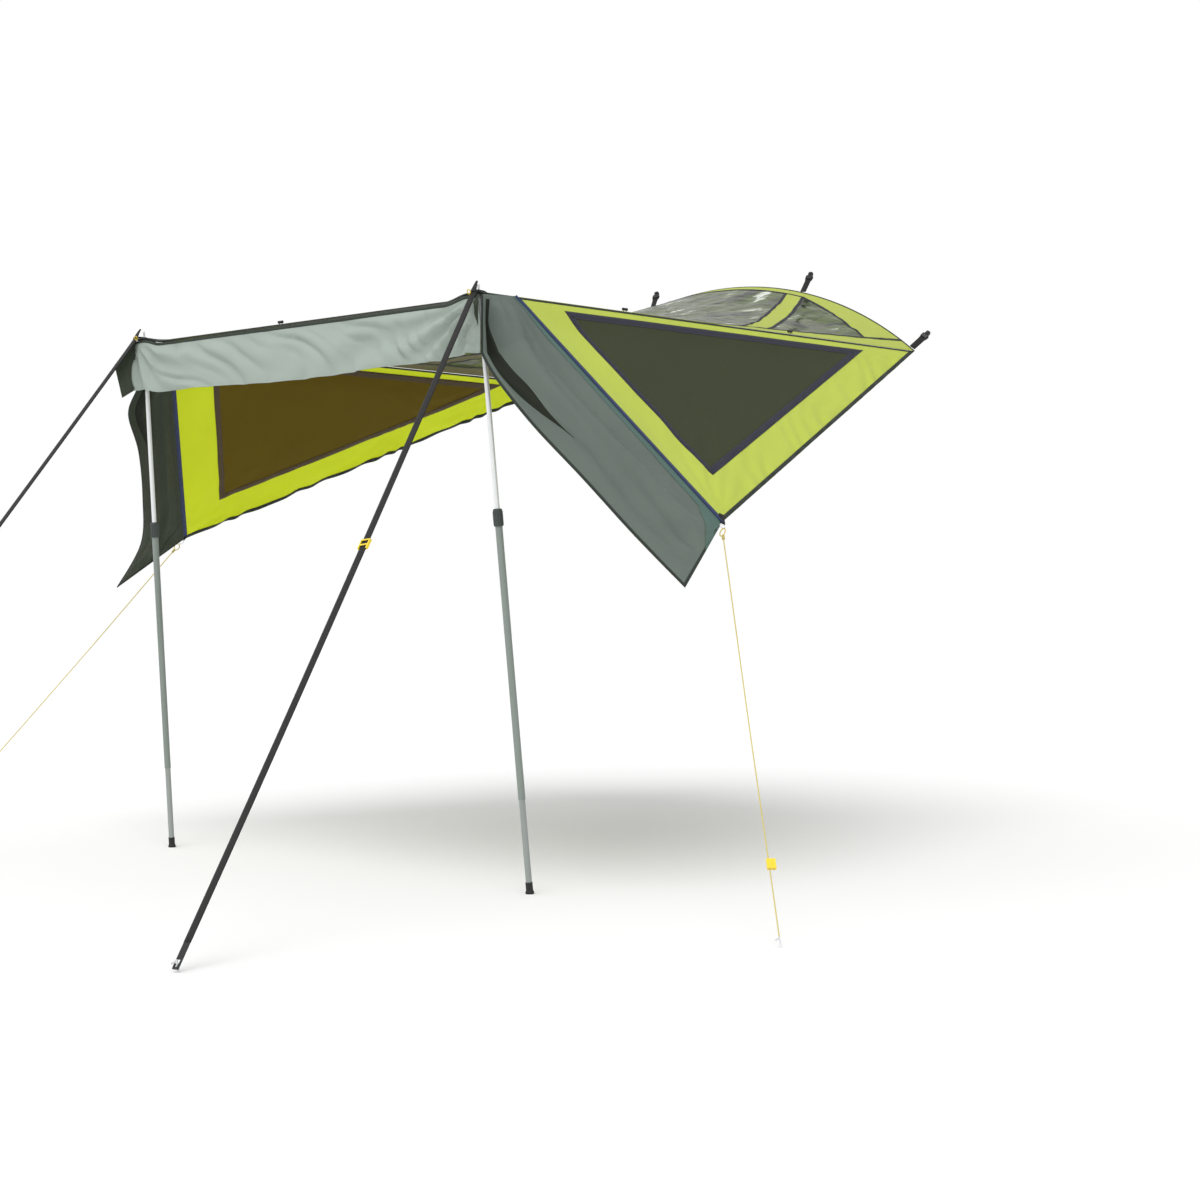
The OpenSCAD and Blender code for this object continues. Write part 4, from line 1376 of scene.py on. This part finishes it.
class CANOPY_OT_corners(bpy.types.Operator):
    """Make the corner patches, gussets and the rings that the guys hook into"""
    bl_idname = "canopy.corners"
    bl_label = "Corner patches and rings"

    def execute(self, context):
        guy_way = (GUY_ROUTE[1] - GUY_ROUTE[0]).normalized()
        brow = Vector((0.888, -2.4135, -0.380))
        foot = Vector((0.888, -2.4135, -0.562))
        outer_foot = Vector((0.922, -2.448, -0.592))
        for name, side in SIDES:
            reach = 0.130 if side < 0 else 0.05
            out = path_at(STRAP_ROUTE, reach / path_length(STRAP_ROUTE))[0] + Vector((0.016, 0, 0))
            drop = foot if side < 0 else brow.lerp(foot, 0.55)
            far = outer_foot if side < 0 else out.lerp(drop, 0.5)

            def gusset(u, v, out=out, drop=drop, far=far):
                p = brow.lerp(out, u).lerp(drop.lerp(far, u), v)
                return p + Vector((0.008 * math.sin(math.pi * u) * math.sin(2 * math.pi * v), 0, 0))
            # Both gussets are the painted-shade cloth: dark for the shade in the corner
            piece(
                f"corner_gusset_{name}", shaped(16, 12, (0.15, 0.15), gusset),
                [MATERIALS["shadow"]], "canopy", side, 0.0016)
            low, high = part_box("corner_patch_right")
            at = Matrix.Translation((high.x, low.y, low.z))
            outline = [(0, 0), (0, 0.075), (-0.012, 0.075), (-0.075, 0.012), (-0.075, 0)]
            piece(
                f"corner_patch_cloth_{name}", plate(outline, at, high.z - low.z),
                [MATERIALS["webbing"]], "canopy", side,
                replaces=[f"corner_patch_{name}"], smooth=False)
            centre = WING_CORNER + guy_way * 0.016
            piece(
                f"guy_anchor_ring_{name}", ring(centre, WING_N, 0.010, 0.0018),
                [MATERIALS["steel"]], "canopy", side,
                replaces=[f"guy_ring_{name}"])
            tab_path = [
                WING_CORNER - guy_way * 0.034 - WING_N * 0.0026, WING_CORNER - WING_N * 0.0026,
                WING_CORNER + guy_way * 0.0075 - WING_N * 0.002]
            piece(
                f"guy_anchor_tab_{name}",
                ribbon(smooth_path(tab_path, 6), lambda u: -WING_N, 0.020, 12, 3),
                [MATERIALS["webbing"]], "canopy", side, 0.002)
        return {"FINISHED"}


class CANOPY_OT_toggles(bpy.types.Operator):
    """Make the small toggles on the front and side edges, each on a loop of elastic"""
    bl_idname = "canopy.toggles"
    bl_label = "Edge toggles"

    def execute(self, context):
        barrel = [
            (0, -0.012), (0.0030, -0.012), (0.0050, -0.0105), (0.0050, -0.004),
            (0.0036, -0.0025), (0.0036, 0.0025), (0.0050, 0.004), (0.0050, 0.0105),
            (0.0030, 0.012), (0, 0.012)]
        seats = [(Vector((-0.075, -DEPTH + 0.008, 0)), Vector((1, 0, 0)))]
        for side in (-1, 1):
            for share in (0.28, 0.66):
                y = lerp(-DEPTH, 0, share) + 0.012
                way = Vector((side * WING_A.x, WING_A.y, WING_A.z))
                seats.append((Vector((side * (edge_x(y) - 0.009), y, 0)), way))
        bars, loops = new_bmesh(), new_bmesh()
        for seat, way in seats:
            cloth = roof_place(seat.x, seat.y)
            centre = cloth + Vector((0, 0, 0.0085))
            for mesh, made in (
                    (bars, lathe(barrel, along(centre, way), 20)),
                    (loops, ring(centre - Vector((0, 0, 0.0032)), way, 0.0062, 0.0013, 24))):
                add_to(mesh, made)
        piece("edge_toggle_bars", bars, [MATERIALS["black"]], "canopy",
              replaces=["edge_toggles"])
        piece("edge_toggle_loops", loops, [MATERIALS["bungee_black"]], "canopy")
        return {"FINISHED"}


class CANOPY_OT_rear_straps(bpy.types.Operator):
    """Make the four webbing loops on the rear edge that hold the hooks"""
    bl_idname = "canopy.rear_straps"
    bl_label = "Rear straps"

    def execute(self, context):
        bm = new_bmesh()
        reach, wide = 0.060, 0.026
        outer = ("outer", REAR_HALF - 0.014, (0.45, 0.6, 0.66))
        inner = ("inner", 0.409, (0.1, 0.5, 0.86))
        for (label, x, way), side in ((outer, 1), (inner, 1), (inner, -1), (outer, -1)):
            d = Vector(way).normalized()
            base = Vector((x, 0.004, arch_z(x) + 0.005))
            across = Vector((0, 1, 0)).cross(d).normalized()
            off = d.cross(across).normalized()
            turn = 0.0036
            body = f"{label}_{'right' if side > 0 else 'left'}"
            grip = new_bmesh()
            seat = axes_matrix(base + d * (reach + 0.010), across, off, d)
            for place, size in (
                    ((0, 0, 0), (0.029, 0.016, 0.018)), ((0, 0, 0.013), (0.019, 0.013, 0.013))):
                block(grip, seat @ Matrix.Translation(place), size, 0.0022)
            piece(f"hook_grip_{body}", grip, [MATERIALS["black"]], f"hook_{body}",
                  side, smooth=False)
            path = [base + off * 0.0014, base + d * (reach - 0.012) + off * 0.0018]
            path += [
                base + d * (reach + turn * math.sin(a)) + off * turn * math.cos(a)
                for a in [math.pi * i / 8 for i in range(9)]]
            path += [base + d * (reach - 0.012) - off * 0.0018, base - off * 0.0014]
            line = smooth_path(path, 4)

            def facing(u, line=line, across=across):
                return across.cross(path_at(line, u)[1])
            strip = ribbon(line, facing, wide, None, 3)
            bmesh.ops.solidify(strip, geom=strip.faces, thickness=0.0012)
            if side < 0:
                flip(strip)
            add_to(bm, strip)
        piece("rear_strap_loops", bm, [MATERIALS["webbing"]], "canopy",
              replaces=["rear_straps"])
        return {"FINISHED"}


class CANOPY_OT_hardware(bpy.types.Operator):
    """Finish the poles, hooks, pegs and sliders of the frame"""
    bl_idname = "canopy.hardware"
    bl_label = "Poles and hardware"

    def execute(self, context):
        finishes = {
            "pole_spike": "steel", "upper_tube": "steel", "tube_expander": "black",
            "sleeve_tube": "painted", "lock_collar": "clamp", "lower_tube": "lower",
            "pole_foot": "rubber", "rear_hook": "black",
            "strap_slider": "yellow", "strap_end": "black", "strap_peg": "steel",
            "guy_runner": "yellow", "guy_peg": "steel"}
        for name, node_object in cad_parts.items():
            for start, finish in finishes.items():
                if name.startswith(start):
                    for slot in node_object.material_slots:
                        slot.material = MATERIALS[finish]
        return {"FINISHED"}


class CANOPY_OT_stage(bpy.types.Operator):
    """Lay the pale floor and set the soft lights"""
    bl_idname = "canopy.stage"
    bl_label = "Stage"

    def execute(self, context):
        settings = context.scene.canopy_stage
        bm = new_bmesh()
        bmesh.ops.create_grid(bm, x_segments=2, y_segments=2, size=30)
        bmesh.ops.translate(bm, vec=(0, 0, GROUND_Z), verts=bm.verts)
        mesh = bpy.data.meshes.new("Floor")
        bm.to_mesh(mesh)
        bm.free()
        floor = bpy.data.objects.new("Floor", mesh)
        context.scene.collection.objects.link(floor)
        material, tree = new_material("floor")
        grain = node(tree, "ShaderNodeTexNoise", {"Scale": 900.0})
        tree.links.new(node(tree, "ShaderNodeTexCoord").outputs["Object"], grain.inputs["Vector"])
        output(tree, surface(
            tree, {"Base Color": rgba(settings.floor), "Roughness": 0.9},
            grain.outputs[0], 0.05, 0.0002))
        mesh.materials.append(material)
        world = bpy.data.worlds.new("Surround")
        world.use_nodes = True
        tree = world.node_tree
        tree.nodes.clear()
        shown, lit = (
            node(tree, "ShaderNodeBackground",
                 {"Color": (1, 1, 1, 1), "Strength": strength}).outputs[0]
            for strength in (1.0, settings.sky))
        seen = node(tree, "ShaderNodeLightPath").outputs["Is Camera Ray"]
        mixed = node(tree, "ShaderNodeMixShader", {0: seen, 1: lit, 2: shown}).outputs[0]
        node(tree, "ShaderNodeOutputWorld", {"Surface": mixed})
        context.scene.world = world
        context.scene.view_settings.view_transform = "Standard"
        for name, power, spread, way in (
                ("Key", settings.key, 50, (0.30, -0.52, 0.80)),
                ("Fill", settings.fill, 90, (-0.7, -0.6, 0.35))):
            lamp = bpy.data.lights.new(name, "SUN")
            lamp.energy, lamp.angle = power, math.radians(spread)
            made = bpy.data.objects.new(name, lamp)
            made.rotation_euler = Vector(way).to_track_quat("Z", "Y").to_euler()
            context.scene.collection.objects.link(made)
        return {"FINISHED"}


class CANOPY_PT_panel(bpy.types.Panel):
    """Sizes, colours and pieces of the canopy"""
    bl_idname = "CANOPY_PT_panel"
    bl_label = "Tent Canopy"
    bl_space_type = "VIEW_3D"
    bl_region_type = "UI"
    bl_category = "Canopy"

    def draw(self, context):
        for group_name in ("canopy_cloth", "canopy_trim", "canopy_stage"):
            settings = getattr(context.scene, group_name)
            box = self.layout.box()
            for prop in settings.bl_rna.properties:
                if prop.identifier not in ("rna_type", "name"):
                    box.prop(settings, prop.identifier)
        for operator in OPERATORS:
            self.layout.operator(operator.bl_idname)


OPERATORS = (
    CANOPY_OT_finishes, CANOPY_OT_camera, CANOPY_OT_sliders, CANOPY_OT_storm_straps, CANOPY_OT_guys,
    CANOPY_OT_corners, CANOPY_OT_roof, CANOPY_OT_valance, CANOPY_OT_wings, CANOPY_OT_flaps,
    CANOPY_OT_toggles, CANOPY_OT_rear_straps, CANOPY_OT_hardware, CANOPY_OT_stage)
CLASSES = (CanopyCloth, CanopyTrim, CanopyStage, *OPERATORS, CANOPY_PT_panel)


def register():
    for item in CLASSES:
        bpy.utils.register_class(item)
    bpy.types.Scene.canopy_cloth = bpy.props.PointerProperty(type=CanopyCloth)
    bpy.types.Scene.canopy_trim = bpy.props.PointerProperty(type=CanopyTrim)
    bpy.types.Scene.canopy_stage = bpy.props.PointerProperty(type=CanopyStage)


def unregister():
    del bpy.types.Scene.canopy_stage
    del bpy.types.Scene.canopy_trim
    del bpy.types.Scene.canopy_cloth
    for item in reversed(CLASSES):
        bpy.utils.unregister_class(item)


def main():
    register()
    for operator in OPERATORS:
        category, name = operator.bl_idname.split(".")
        getattr(getattr(bpy.ops, category), name)()


if __name__ == "__main__":
    main()
